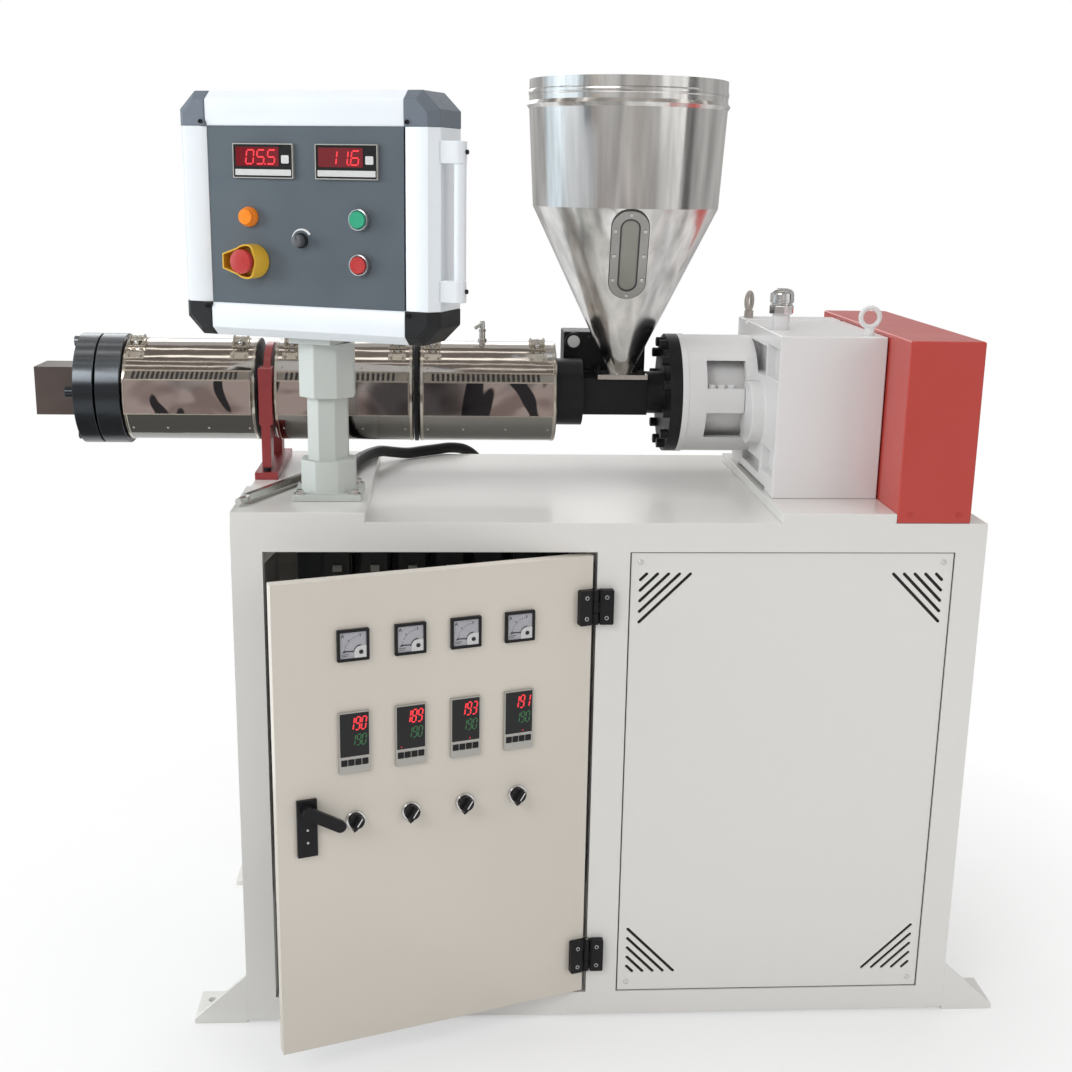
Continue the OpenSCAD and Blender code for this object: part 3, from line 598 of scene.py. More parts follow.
vent_steel = surface("vent_steel", (0.42, 0.385, 0.34), 0.20, metallic=0.85, spread=0.1,
                     patch=10, rough_spread=0.04)
die_steel = surface("die_steel", (0.115, 0.092, 0.084), 0.38, metallic=0.7, spread=0.2,
                    patch=11, rough_spread=0.08, grain=160, grain_depth=0.0006,
                    stretch=(0.15, 1, 1))
# The support's red is a darker copy of the red paint: painted shade for the shadow that falls on
# the support.
support_shaded_red = surface("support_shaded_red", (0.30, 0.032, 0.035), 0.34, spread=0.12, patch=12,
                        grain=350, grain_depth=0.0004, coat=0.2)
warm_steel = surface("warm_steel", (0.25, 0.205, 0.185), 0.34, metallic=0.75, spread=0.22,
                     patch=9, rough_spread=0.12, grain=500, grain_depth=0.0004)
chrome = surface("chrome", (0.72, 0.72, 0.72), 0.12, metallic=1.0, spread=0.05, patch=20,
                 rough_spread=0.04)
brass_steel = surface("brass_steel", (0.62, 0.575, 0.50), 0.21, metallic=1.0, spread=0.06,
                      patch=9, rough_spread=0.04, detail=1)
bezel_steel = surface("bezel_steel", (0.40, 0.41, 0.42), 0.24, metallic=0.85, spread=0.1,
                      patch=24)
plate_dark = surface("plate_dark", (0.045, 0.052, 0.06), 0.4, metallic=0.3, spread=0.12,
                     patch=6)
gusset_grey = surface("gusset_grey", (0.30, 0.30, 0.29), 0.45, metallic=0.3, spread=0.08)
aluminium = surface("aluminium", (0.81, 0.85, 0.89), 0.34, metallic=0.1, spread=0.02,
                    patch=4, grain=900, grain_depth=0.0002, stretch=(1, 1, 0.1), coat=0.15)
print("metals ready")

# %% [markdown]
# ## Plastics and glass
# Moulded plastic has a softer gloss than paint and hardly any relief, so the common
# finish needs little or no grain here.

# %% Plastics, rubber and glass
hinge_steel = surface("hinge_steel", (0.010, 0.010, 0.011), 0.42, spread=0.2, patch=20,
                      shine=0.22, grain=700, grain_depth=0.0004)
black_plastic = surface("black_plastic", (0.010, 0.010, 0.011), 0.34, spread=0.15,
                        patch=18, shine=0.25, grain=800, grain_depth=0.0003)
silver_plastic = surface("silver_plastic", (0.43, 0.42, 0.39), 0.38, metallic=0.35,
                         spread=0.05, patch=14, grain=700, grain_depth=0.0002)
grey_plastic = surface("grey_plastic", (0.10, 0.105, 0.115), 0.40, spread=0.1, patch=20)
casting_dark = surface("casting_dark", (0.013, 0.014, 0.016), 0.40, spread=0.2, patch=10,
                       shine=0.3, grain=420, grain_depth=0.0006)
casting_blue = surface("casting_blue", (0.13, 0.155, 0.19), 0.42, spread=0.1, patch=10,
                       grain=420, grain_depth=0.0006)
panel_enamel = surface("panel_enamel", (0.084, 0.106, 0.126), 0.38, spread=0.06, patch=5,
                       grain=600, grain_depth=0.0002)
pad_rubber = surface("pad_rubber", (0.02, 0.02, 0.02), 0.7, spread=0.2, patch=20,
                     grain=500, grain_depth=0.0006)
switch_plastic = surface("switch_plastic", (0.50, 0.50, 0.46), 0.45, spread=0.06, patch=9)
white_plastic = surface("white_plastic", (0.72, 0.72, 0.70), 0.35, spread=0.03, patch=14)
yellow_plastic = surface("yellow_plastic", (0.72, 0.43, 0.035), 0.34, spread=0.05, patch=16)
red_plastic = surface("red_plastic", (0.48, 0.035, 0.035), 0.28, spread=0.06, patch=18,
                      coat=0.3)
green_plastic = surface("green_plastic", (0.03, 0.36, 0.20), 0.25, spread=0.06, patch=18,
                        coat=0.3)
amber_plastic = surface("amber_plastic", (0.90, 0.24, 0.01), 0.28, spread=0.06, patch=18,
                        coat=0.15)
dial_white = surface("dial_white", (0.60, 0.60, 0.60), 0.30, spread=0.04, patch=20)
dial_face = surface("dial_face", (0.40, 0.40, 0.43), 0.30, spread=0.08, patch=20)
joint_black = surface("joint_black", (0.05, 0.05, 0.05), 0.7, spread=0.2, patch=20)
white_screw = surface("white_screw", (0.66, 0.66, 0.65), 0.25, metallic=0.3, spread=0.1,
                      patch=20)
ink_black = surface("ink_black", (0.012, 0.012, 0.012), 0.5, spread=0.1, patch=30)
ink_white = surface("ink_white", (0.72, 0.72, 0.72), 0.5, spread=0.03, patch=30)
sight_glass = surface("sight_glass", (0.24, 0.235, 0.205), 0.12, metallic=0.25, spread=0.2,
                      patch=12, coat=0.6)
print("plastics ready")

# %% [markdown]
# ## Lit displays
# A lit figure gives off a little light of its own, because a plain bright colour would
# look printed. The windows round the figures are dark and glossy.

# %% Lit displays
def glowing(name, colour, strength):
    """A lit display: a plain colour that also gives off a little light."""
    material, tree, shader = new_finish(name)
    fill(tree, shader, {"Base Color": tint(colour, 0.5), "Roughness": 0.35,
                        "Emission Color": (*colour, 1), "Emission Strength": strength})
    return material


red_digits = glowing("red_digits", (0.95, 0.035, 0.05), 0.85)
green_digits = glowing("green_digits", (0.04, 0.16, 0.06), 0.35)
red_window = surface("red_window", (0.16, 0.006, 0.012), 0.12, spread=0.1, patch=30, coat=0.5)
black_window = surface("black_window", (0.008, 0.008, 0.009), 0.10, spread=0.1, patch=30,
                       shine=0.3, coat=0.15)
print("displays ready")

# %% [markdown]
# ## The floor
# The floor is plain and pale. Far from the machine it glows and runs out into white, so
# that no horizon shows. Near the machine it glows less and keeps the shadow.

# %% Floor
bm = bmesh.new()
bmesh.ops.create_circle(bm, cap_ends=True, radius=40, segments=64)
floor = new_object("floor", new_mesh("floor", bm))
floor.location.z = -0.0005

floor_finish, tree, paint = new_finish("floor_finish")
fill(tree, paint, {"Base Color": (0.82, 0.82, 0.82, 1), "Roughness": 0.6})
glow = add(tree, "ShaderNodeEmission", {"Strength": 1.0})
reach = add(tree, "ShaderNodeVectorMath", {0: coords(tree)}, operation="LENGTH")
rays = add(tree, "ShaderNodeLightPath")
seen = add(tree, "ShaderNodeMath", {
    0: between(tree, reach.outputs["Value"], 0.45, 1.0, (0.65, 1.3)),
    1: rays.outputs["Is Camera Ray"]}, operation="MULTIPLY")
blend = add(tree, "ShaderNodeMixShader", {
    0: seen.outputs["Value"], 1: paint.outputs["BSDF"], 2: glow.outputs["Emission"]})
fill(tree, tree.nodes["Material Output"], {"Surface": blend.outputs["Shader"]})
floor.data.materials.append(floor_finish)
print("floor ready")

# %% [markdown]
# ## World and lamps
# The world is a soft warm light, and the camera sees plain white in its place. Five
# large soft lamps give the shapes their light and shade, as in a product studio.

# %% World and lamps
scene.view_settings.view_transform = "Standard"
scene.world = bpy.data.worlds.new("studio")
scene.world.use_nodes = True
tree = scene.world.node_tree
soft_light = tree.nodes["Background"]
fill(tree, soft_light, {"Color": (1.0, 0.985, 0.97, 1), "Strength": 0.47})
backdrop = add(tree, "ShaderNodeBackground", {"Color": (1.0, 1.0, 1.0, 1), "Strength": 1.0})
rays = add(tree, "ShaderNodeLightPath")
blend = add(tree, "ShaderNodeMixShader", {
    0: rays.outputs["Is Camera Ray"], 1: soft_light.outputs["Background"],
    2: backdrop.outputs["Background"]})
fill(tree, tree.nodes["World Output"], {"Surface": blend.outputs["Shader"]})


def aimed(place, aim, forward):
    """The turn that points an axis from a place to another."""
    return (Vector(aim) - Vector(place)).to_track_quat(forward, "Y")


def lamp(name, place, aim, size, power, colour=(1.0, 1.0, 1.0)):
    """A large soft lamp that looks at a point."""
    data = bpy.data.lights.new(name, "AREA")
    data.shape = "RECTANGLE"
    data.size, data.size_y = size
    data.energy = power
    data.color = colour
    light = new_object(name, data)
    light.location = place
    light.rotation_euler = aimed(place, aim, "-Z").to_euler()


lamp("key", (-2.6, -3.4, 3.4), (0, 0, 0.7), (2.4, 1.8), 66)
lamp("side", (-4.2, -0.4, 1.8), (0, 0, 0.8), (2.4, 2.0), 94, (0.90, 0.97, 1.0))
lamp("fill", (3.2, -3.0, 1.9), (0, 0, 0.7), (2.2, 2.0), 30)
lamp("top", (0.2, 0.6, 4.2), (0, 0, 0.8), (3.0, 2.2), 54)
lamp("back", (-0.6, 3.6, 2.6), (0, 0, 0.8), (2.6, 1.6), 24)
print("world and lamps ready")

# %% [markdown]
# ## Cards for the steel to reflect
# Polished steel shows only what stands round it. In a white studio it would vanish, so
# dark and warm cards stand beside the camera, and a grey roof with four bright strips
# hangs over the barrel, which draws the long lines on its round covers. They are
# plain sheets that only glossy rays meet, so they cast no shadow and never show.

# %% Reflection cards
def card(name, place, aim, size, colour):
    """A flat card that shows only in reflections."""
    bm = bmesh.new()
    matrix = (Matrix.Translation(place) @ aimed(place, aim, "Z").to_matrix().to_4x4()
              @ Matrix.Diagonal((*size, 1, 1)))
    bmesh.ops.create_grid(bm, x_segments=1, y_segments=1, size=0.5, matrix=matrix)
    sheet = new_object(name, new_mesh(name, bm))
    finish, tree, shader = new_finish(name)
    tree.nodes.remove(shader)
    shine = add(tree, "ShaderNodeEmission", {"Color": (*colour, 1)})
    fill(tree, tree.nodes["Material Output"], {"Surface": shine.outputs["Emission"]})
    sheet.data.materials.append(finish)
    sheet.visible_camera = False
    sheet.visible_diffuse = False
    sheet.visible_shadow = False
    sheet.visible_transmission = False


BARREL_AIM = (-0.3, 0.0, 1.0)
card("card_dark_ground", (-0.75, -0.2, 0.02), (-0.75, -0.2, 2.0), (1.3, 1.3),
     (0.22, 0.22, 0.21))
card("card_warm_front", (-0.4, -3.0, 0.45), BARREL_AIM, (5.0, 0.8), (0.46, 0.395, 0.375))
card("card_dark_legs", (-0.35, -2.5, 0.55), BARREL_AIM, (0.34, 0.9), (0.03, 0.03, 0.035))
card("card_warm_left", (-2.3, -2.4, 1.5), (0, 0, 1.2), (0.5, 1.6), (0.34, 0.29, 0.25))
card("card_grey_mid", (0.2, -3.4, 1.6), (0, 0, 1.2), (1.4, 1.3), (0.60, 0.57, 0.545))
card("card_dark_right", (2.75, -1.0, 1.4), (0, 0, 1.2), (0.7, 2.2), (0.07, 0.07, 0.07))
card("card_cool_left", (-2.6, 0.0, 1.7), (0, 0, 1.3), (2.7, 2.2), (0.78, 0.90, 0.98))
card("card_pale_right", (2.2, -2.15, 1.8), (0, 0, 1.3), (1.5, 2.2), (0.82, 0.82, 0.80))
card("card_dark_left", (-2.5, -1.5, 1.5), (0, 0, 1.2), (0.3, 1.8), (0.12, 0.125, 0.13))
ROOF = 3.0
card("card_roof", (-0.3, -0.25, ROOF), (-0.3, -0.25, 0), (5.0, 3.3), (0.17, 0.15, 0.135))
for name, y, width in (("card_strip_front", -1.11, 0.09), ("card_strip_near", -0.62, 0.05),
                       ("card_strip_mid", -0.12, 0.20), ("card_strip_back", 0.75, 0.14)):
    card(name, (-0.3, y, ROOF - 0.02), (-0.3, y, 0), (5.0, width), (1.7, 1.65, 1.55))
print("cards ready")

# %% [markdown]
# ## The control cable's conduit
# A black conduit, 20 mm across, leaves a gland on the post's collar. It lies on the
# table, goes over its back edge and ends in an elbow on the back wall. It could be a
# swept mesh, but a curve with a round bevel is simpler. The points are the same as the
# CAD's, and each handle is a sixth of the way between its neighbours, which gives the
# same smooth line.

# %% Conduit
CONDUIT_DIAMETER = 0.020
conduit_route = [
    (-0.429, -0.093, 0.894), (-0.429, -0.083, 0.894), (-0.429, -0.070, 0.894),
    (-0.427, -0.038, 0.887), (-0.423, -0.004, 0.877), (-0.418, 0.034, 0.871),
    (-0.412, 0.072, 0.871), (-0.403, 0.108, 0.871), (-0.391, 0.140, 0.871),
    (-0.374, 0.168, 0.870), (-0.353, 0.196, 0.863), (-0.328, 0.222, 0.8565),
    (-0.300, 0.245, 0.856), (-0.274, 0.264, 0.856), (-0.250, 0.280, 0.856),
    (-0.225, 0.297, 0.850), (-0.203, 0.312, 0.833), (-0.189, 0.322, 0.807),
    (-0.184, 0.325, 0.776), (-0.184, 0.325, 0.750), (-0.184, 0.325, 0.725)]
route = [Vector(point) for point in conduit_route]
conduit_curve = bpy.data.curves.new("conduit", "CURVE")
conduit_curve.dimensions = "3D"
conduit_curve.bevel_depth = CONDUIT_DIAMETER / 2
conduit_curve.bevel_resolution = 5
conduit_curve.resolution_u = 5
conduit_curve.use_fill_caps = True
spline = conduit_curve.splines.new("BEZIER")
spline.bezier_points.add(len(route) - 1)
for i, point in enumerate(spline.bezier_points):
    before, after = route[max(i - 1, 0)], route[min(i + 1, len(route) - 1)]
    point.co = route[i]
    point.handle_left = route[i] - (after - before) / 6
    point.handle_right = route[i] + (after - before) / 6
conduit_curve.materials.append(black_plastic)
conduit = new_object("conduit", conduit_curve)
ride(conduit, "machine", replaces="control_conduit")

# %% [markdown]
# ## Finishes for the CAD parts
# Flat plates, tubes and housings whose CAD shape is already right keep it, and only
# take their finish from this table.

# %% Finishes by node
node_finish = {
    cabinet_enamel: ["front_stiles", "front_rails", "side_walls", "back_wall",
                     "cabinet_floor", "tabletop", "machined_seats", "foot_brackets",
                     "vent_panel"],
    door_enamel: ["door_panel"],
    gear_enamel: ["gearbox_housing", "lantern_housing"],
    post_enamel: ["control_post"],
    red_paint: ["belt_guard", "barrel_support"],
    black_metal: ["feed_throat", "drive_flange", "lock_plate", "lock_lever"],
    black_plastic: ["junction_box", "conduit_glands", "ammeters", "selector_knob_1",
                    "selector_knob_2", "selector_knob_3", "selector_knob_4", "panel_meters"],
    dark_steel: ["clamp_rings"],
    bright_steel: ["hopper_base_plate", "barrel_tube", "gearbox_fittings", "heater_fittings",
                   "side_handle", "hex_bar"],
    warm_steel: ["die_block"],
    mirror_steel: ["heater_covers"],
    hopper_steel: ["hopper_shell", "sight_frame"],
    sight_glass: ["sight_pane"],
    plate_dark: ["mounting_plate"],
    switch_plastic: ["switchgear"],
    pad_rubber: ["floor_pads"],
    hinge_steel: ["frame_hinge_leaves", "door_hinge_leaves"],
    silver_plastic: ["temperature_controllers"],
    chrome: ["selector_bodies", "panel_fittings"],
    aluminium: ["box_shell"],
    casting_dark: ["box_corners"],
    panel_enamel: ["control_panel"],
    grey_plastic: ["speed_knob"],
    green_plastic: ["start_button"],
    red_plastic: ["stop_button", "emergency_button"],
}
for finish, names in node_finish.items():
    for name in names:
        data = frame["nodes"][name].data
        data.materials.clear()
        data.materials.append(finish)
print("finished nodes", sum(len(names) for names in node_finish.values()))

# %% [markdown]
# ## Working in a turned frame
# The door stands open and the control box is turned on its post, so their parts are
# easiest to draw in frames of their own, which come from the joints.

# %% Door and box frames
DOOR = joints["door_hinge"]
DOOR_TURN = -math.radians(DOOR["range_deg"][0])
hinge_pin = [part / MM for part in DOOR["pos_m"]]
unturned = shift(hinge_pin[0], hinge_pin[1], 0)
door = unturned @ Matrix.Rotation(DOOR_TURN, 4, "Z")

press = joints["start_press"]["axis"]
box_turn = math.atan2(-press[0], press[1])
panel_lo, panel_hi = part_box("control_panel")
flat = Matrix.Translation((panel_lo + panel_hi) / 2) @ Matrix.Rotation(box_turn, 4, "Z")
panel = islands("control_panel", flat)[0]
box = flat @ shift(0, panel[0].y, 0)
OUT = turn(90, "X")
UP = (0, 0, 1)


def spot(x, y, z, place=IDENTITY, out=(0, -1, 0), spin=0.0):
    """Where a fastener sits in a frame: its point, the way it faces and its spin."""
    return at(place, x, y, z), way(place, *out), spin


def facing(place, x, y, z):
    """A frame whose +Z points out of the front of another frame."""
    return place @ shift(x, y, z) @ OUT


print("door turned", round(math.degrees(DOOR_TURN), 1), "box turned",
      round(math.degrees(box_turn), 1))

# %% [markdown]
# ## Fasteners with Geometry Nodes
# Bolts, screws and vent slats repeat by the dozen. Copying meshes would work, but a
# Geometry Nodes tree shows the rule: one head is instanced on points, and each point
# carries the way it faces and its spin. Realize Instances and Set Material close the
# tree, and the result becomes a plain mesh.

# %% The fastener tree
def fastener_tree():
    """Instances a head on points, turned to each point's facing and spin."""
    tree = bpy.data.node_groups.new("fasteners", "GeometryNodeTree")
    for name, kind, side in (("Geometry", "NodeSocketGeometry", "INPUT"),
                             ("Head", "NodeSocketObject", "INPUT"),
                             ("Size", "NodeSocketFloat", "INPUT"),
                             ("Finish", "NodeSocketMaterial", "INPUT"),
                             ("Geometry", "NodeSocketGeometry", "OUTPUT")):
        tree.interface.new_socket(name=name, in_out=side, socket_type=kind)
    given = add(tree, "NodeGroupInput").outputs
    head = add(tree, "GeometryNodeObjectInfo", {"Object": given["Head"]})
    outward = add(tree, "GeometryNodeInputNamedAttribute", {"Name": "facing"},
                  data_type="FLOAT_VECTOR")
    spin = add(tree, "GeometryNodeInputNamedAttribute", {"Name": "spin"})
    align = add(tree, "FunctionNodeAlignRotationToVector",
                {"Vector": outward.outputs["Attribute"]}, axis="Z")
    spun = add(tree, "FunctionNodeAxisAngleToRotation", {"Angle": spin.outputs["Attribute"]})
    both = add(tree, "FunctionNodeRotateRotation",
               {"Rotation": align.outputs["Rotation"], "Rotate By": spun.outputs["Rotation"]},
               rotation_space="LOCAL")
    heads = add(tree, "GeometryNodeInstanceOnPoints", {
        "Points": given["Geometry"], "Instance": head.outputs["Geometry"],
        "Rotation": both.outputs["Rotation"], "Scale": given["Size"]})
    real = add(tree, "GeometryNodeRealizeInstances", {"Geometry": heads.outputs["Instances"]})
    paint = add(tree, "GeometryNodeSetMaterial", {
        "Geometry": real.outputs["Geometry"], "Material": given["Finish"]})
    add(tree, "NodeGroupOutput", {"Geometry": paint.outputs["Geometry"]})
    return tree


FASTENERS = fastener_tree()
SOCKETS = {item.name: item.identifier for item in FASTENERS.interface.items_tree
           if item.in_out == "INPUT"}
print("fastener tree", len(FASTENERS.nodes), "nodes")

# %% [markdown]
# ## Setting fasteners
# A mesh of bare points goes through the tree and comes back as one piece. Its points
# carry two attributes, and the tree reads them by name.

# %% Setting fasteners
def fasten(name, head, radius, places, material, body="machine"):
    """Sets heads of a radius in millimetres at (point, facing, spin) places."""
    mesh = bpy.data.meshes.new(name)
    mesh.from_pydata([tuple(point) for point, _, _ in places], [], [])
    outward = mesh.attributes.new("facing", "FLOAT_VECTOR", "POINT")
    outward.data.foreach_set("vector", [part for _, out, _ in places for part in out])
    spins = mesh.attributes.new("spin", "FLOAT", "POINT")
    spins.data.foreach_set("value", [spin for _, _, spin in places])
    points = new_object(name + "_points", mesh)
    rule = points.modifiers.new("fasteners", "NODES")
    rule.node_group = FASTENERS
    rule[SOCKETS["Head"]] = head
    rule[SOCKETS["Size"]] = radius * MM
    rule[SOCKETS["Finish"]] = material
    ready = bpy.context.evaluated_depsgraph_get()
    made = bpy.data.meshes.new_from_object(points.evaluated_get(ready))
    bpy.data.objects.remove(points)
    ride(new_object(name, made), body)


print("fasteners can be set")

# %% [markdown]
# ## The heads
# A head is drawn 1000 mm in radius round the origin, with +Z out of the surface, so a
# radius in millimetres is its scale.

# %% Heads
def head_object(name, build):
    """An object that holds a head, kept out of the scene."""
    bm = bmesh.new()
    build(bm)
    return bpy.data.objects.new(name, new_mesh(name, bm, smooth=35))


def hex_head(bm):
    """A hexagon head on a washer."""
    turned(bm, [(0, 0), (1180, 0), (1180, 150), (0, 150)], sides=20)
    turned(bm, [(0, 150), (1000, 150), (1000, 730), (860, 850), (0, 850)], sides=6)


def socket_head(bm):
    """A round head with a hollow in it."""
    turned(bm, [(0, 0), (1000, 0), (1000, 820), (900, 960), (560, 960), (500, 500), (0, 500)],
           sides=18)


def pan_head(bm):
    """A low round head with a cross of two grooves, drawn as raised quarters."""
    turned(bm, [(0, 0), (1000, 0), (960, 260), (0, 260)], sides=20)
    outline = [(110, 110), (640, 110), (560, 560), (110, 640)]
    for quarter in (0, 90, 180, 270):
        place = turn(quarter, "Z")
        skin(bm, [row(bm, outline, 250, place, "Z"),
                  row(bm, scaled(outline, 0.9, 0.9), 420, place, "Z")])


def slotted_head(bm):
    """A low round head with one slot across it."""
    turned(bm, [(0, 0), (1000, 0), (980, 300), (0, 300)], sides=20)
    for side in (1, -1):
        half = scaled([(-960, 130), (960, 130), (640, 700), (-640, 700)], 1, side)
        skin(bm, [row(bm, half, 290, axis="Z"),
                  row(bm, scaled(half, 0.9, 0.92), 500, axis="Z")])


def dome_head(bm):
    """A smooth rounded head."""
    turned(bm, [(0, 0), (1000, 0), (960, 240), (780, 470), (420, 620), (0, 670)], sides=20)


def slot_head(bm):
    """A long narrow opening, drawn as a thin dark bar."""
    block(bm, (-205, -1000, -20), (205, 1000, 30))


HEX, SOCKET, PAN, SLOTTED, DOME, SLOT = (head_object(build.__name__, build) for build in (
    hex_head, socket_head, pan_head, slotted_head, dome_head, slot_head))
print("heads ready")

# %% [markdown]
# ## The control box
# Four aluminium profiles make the front frame. A profile is an extrusion with a chamfer
# outside and a slope inside, so it's drawn as its section and pushed along its length,
# which gives the slopes that catch the light.

# %% Profiles
CORNER, PROUD, CHAMFER, FRONT_CHAMFER = 50.0, 1.5, 26.0, 13.0
outermost = max(islands("box_corners", box), key=lambda pair: pair[1].x + pair[1].z)[1]
BOX_W, BOX_H, BOX_BACK = outermost.x, outermost.z, outermost.y - PROUD
INNER_W, INNER_H = BOX_W - CORNER, BOX_H - CORNER
section = [(0, BOX_BACK), (0, 11), (FRONT_CHAMFER, -4), (41, -4), (CORNER, 1),
           (CORNER, BOX_BACK - 4), (CORNER + 20, BOX_BACK - 4), (CORNER + 20, BOX_BACK)]
bm = bmesh.new()
for quarter, far, length in ((0, BOX_W, INNER_H), (90, BOX_H, INNER_W),
                             (180, BOX_W, INNER_H), (270, BOX_H, INNER_W)):
    prism(bm, [(u - far, y) for u, y in section], -length, length,
          box @ turn(quarter, "Y"), "Z")
make("box_profiles", bm, aluminium, "control_box", bevel=0.8,
     replaces="box_shell")
print("profiles ready")

# %% [markdown]
# ## Corner castings and the back
# A casting is three outlines joined by faces, from its back to a smaller front, and it
# stands a little proud of the profiles. The upper two are blue-grey, the lower two
# dark. A sheet closes the box's back, and a round plate carries the box on its post.

# %% Corner castings and back
side_x, side_z = BOX_W - FRONT_CHAMFER, BOX_H - FRONT_CHAMFER
outer = [(INNER_W, BOX_H), (BOX_W - CHAMFER, BOX_H), (BOX_W, BOX_H - CHAMFER),
         (BOX_W, INNER_H), (INNER_W, INNER_H)]
inner = [(INNER_W, side_z), (BOX_W - CHAMFER - 5, side_z), (side_x, BOX_H - CHAMFER - 5),
         (side_x, INNER_H), (INNER_W, INNER_H)]
for name, sz, finish in (("top_corner_castings", 1, casting_blue),
                         ("bottom_corner_castings", -1, casting_dark)):
    bm = bmesh.new()
    for sx in (1, -1):
        skin(bm, [row(bm, scaled(outline, sx, sz), y, box) for outline, y in
                  ((outer, BOX_BACK + PROUD), (outer, 9.5), (inner, -5.5))])
    make(name, bm, finish, "control_box", bevel=1.6, segments=3,
         replaces="box_corners")
fasten("corner_pins", SOCKET, 3.2,
       [spot(sx * (INNER_W + 6), -5.4, sz * (INNER_H + 6), box)
        for sx in (1, -1) for sz in (1, -1)], black_metal, "control_box")
make("box_back_sheet", blocks([((-INNER_W - 1, BOX_BACK - 3, -INNER_H - 1),
                                (INNER_W + 1, BOX_BACK - 0.5, INNER_H + 1))], box),
     aluminium, "control_box", bevel=0.6)
# A black sheet behind the panel shows in the narrow gap round it: painted shade for the shadow
# in that gap.
make("panel_gasket", blocks([((-INNER_W, 4.2, -INNER_H), (INNER_W, 7, INNER_H))], box),
     pad_rubber, "control_box", bevel=0.5)
swivel = box.inverted() @ Vector(joints["box_swivel"]["pos_m"]) / MM
bm = lathe([(0, -9.6), (36, -9.6), (38, -8), (38, 0), (0, 0)],
           box @ shift(swivel.x, swivel.y, -BOX_H), sides=64)
block(bm, (swivel.x - 35, 24, -BOX_H - 9.4), (swivel.x + 35, swivel.y, -BOX_H), box)
make("swivel_plate", bm, post_enamel, "control_box", bevel=0.8)
print("box frame", BOX_W, BOX_H, BOX_BACK)

# %% [markdown]
# ## Seven-segment digits
# A font's digits would have the wrong shape, so each lit segment is a small slanted
# bar, and a table lists which segments a figure lights.

# %% Seven-segment digits
SEGMENTS = {"0": "abcdef", "1": "bc", "2": "abged", "3": "abgcd", "4": "fgbc", "5": "afgcd",
            "6": "afgedc", "7": "abc", "8": "abcdefg", "9": "abcdfg", ".": "."}
SLANT = 0.14


def digits(bm, text, x, z, height, pitch, place, y):
    """Lit segments of a text, from its left edge at x, centred on z."""
    w, h, t, dot = pitch * 0.68, height / 2, height * 0.0525, -pitch * 0.16
    bars = {"a": (t, h - t, w - t, h + t), "g": (t, -t, w - t, t),
            "d": (t, -h - t, w - t, t - h), "f": (-t, t, t, h - t),
            "b": (w - t, t, w + t, h - t), "e": (-t, t - h, t, -t),
            "c": (w - t, t - h, w + t, -t), ".": (dot - t, -h - t, dot + t, t - h)}
    for figure in text:
        for key in SEGMENTS[figure]:
            x0, z0, x1, z1 = bars[key]
            prism(bm, [(x + u + SLANT * v, z + v) for u, v in
                       ((x0, z0), (x1, z0), (x1, z1), (x0, z1))], y, y + 0.5, place)
        if figure != ".":
            x += pitch


print("digits ready")

# %% [markdown]
# ## The panel's meters
# Two meters show red figures on dark windows. Each has a dark case in a thin silver
# edge, with a pale strip below its window and a key beside it.

# %% Panel meters
def face_of(place, lo, hi):
    """The frame moved sideways and up to the middle of a box in it."""
    return place @ shift((lo.x + hi.x) / 2, 0, (lo.z + hi.z) / 2)


METER_WINDOW = rounded(71, 27, 1.5, -9, 6)
METER_STRIP = rounded(92, 8.6, 0.8, 0, -16.2)
METER_KEY = rounded(12.5, 11.5, 1.8, 36.5, 2.5)
meters = islands("panel_meters", box)
cases, edges, windows, figures, strips = (bmesh.new() for _ in range(5))
for (lo, hi), shown in zip(meters, ("05.5", "11.6")):
    face, wide, high = face_of(box, lo, hi), hi.x - lo.x, hi.z - lo.z
    tube_wall(edges, rounded(wide, high, 1.2), rounded(wide - 2.6, high - 2.6, 0.8),
              0.5, lo.y, face)
    block(cases, (1 - wide / 2, lo.y + 1.2, 1 - high / 2), (wide / 2 - 1, 0.5, high / 2 - 1),
          face)
    for bm, outline in ((windows, METER_WINDOW), (strips, METER_STRIP), (strips, METER_KEY)):
        prism(bm, outline, lo.y + 0.6, lo.y + 1.5, face)
    digits(figures, shown, -27, 5.6, 19.5, 17.6, face, lo.y + 0.3)
make("meter_cases", cases, black_plastic, "control_box", bevel=0.5,
     replaces="panel_meters")
make("meter_edges", edges, silver_plastic, "control_box")
make("meter_windows", windows, red_window, "control_box")
make("meter_digits", figures, red_digits, "control_box")
make("meter_strips", strips, dial_white, "control_box")
print("meters", len(meters))

# %% [markdown]
# ## Lamp and buttons
# Round controls are turned shapes. Each is drawn from its profile in a frame that
# faces out of the panel.

# %% Buttons
start, stop, emergency, dial = (centre(node, box) for node in (
    "start_button", "stop_button", "emergency_button", "speed_knob"))
LAMP_Z = -1.0
LAMP = [(0, 0), (14.5, 0), (14.5, 3), (13.6, 4.5), (13.6, 7), (12.4, 8), (12, 12.5),
        (10.5, 14.5), (0, 15.2)]
BUTTON_RING = [(12.7, 0), (16, 0), (16, 6), (15.2, 8.4), (13.6, 9), (12.7, 8)]
BUTTON_CAP = [(0, 4.3), (12.3, 4.3), (12.3, 10.6), (11.3, 12.2), (8, 12.0), (0, 11.6)]


def on_panel(x, z):
    """A frame whose +Z points out of the control panel."""
    return facing(box, x, 0, z)


make("power_lamp", lathe(LAMP, on_panel(emergency[0], LAMP_Z)), amber_plastic, "control_box",
     replaces="panel_fittings")
bm = bmesh.new()
for place in (start, stop):
    turned(bm, BUTTON_RING, on_panel(*place))
make("button_rings", bm, bezel_steel, "control_box")
for key, place, finish in (("start", start, green_plastic), ("stop", stop, red_plastic)):
    make(key + "_lens", lathe(BUTTON_CAP, on_panel(*place)), finish, key + "_push",
         replaces=key + "_button")
print("lamp and buttons ready")

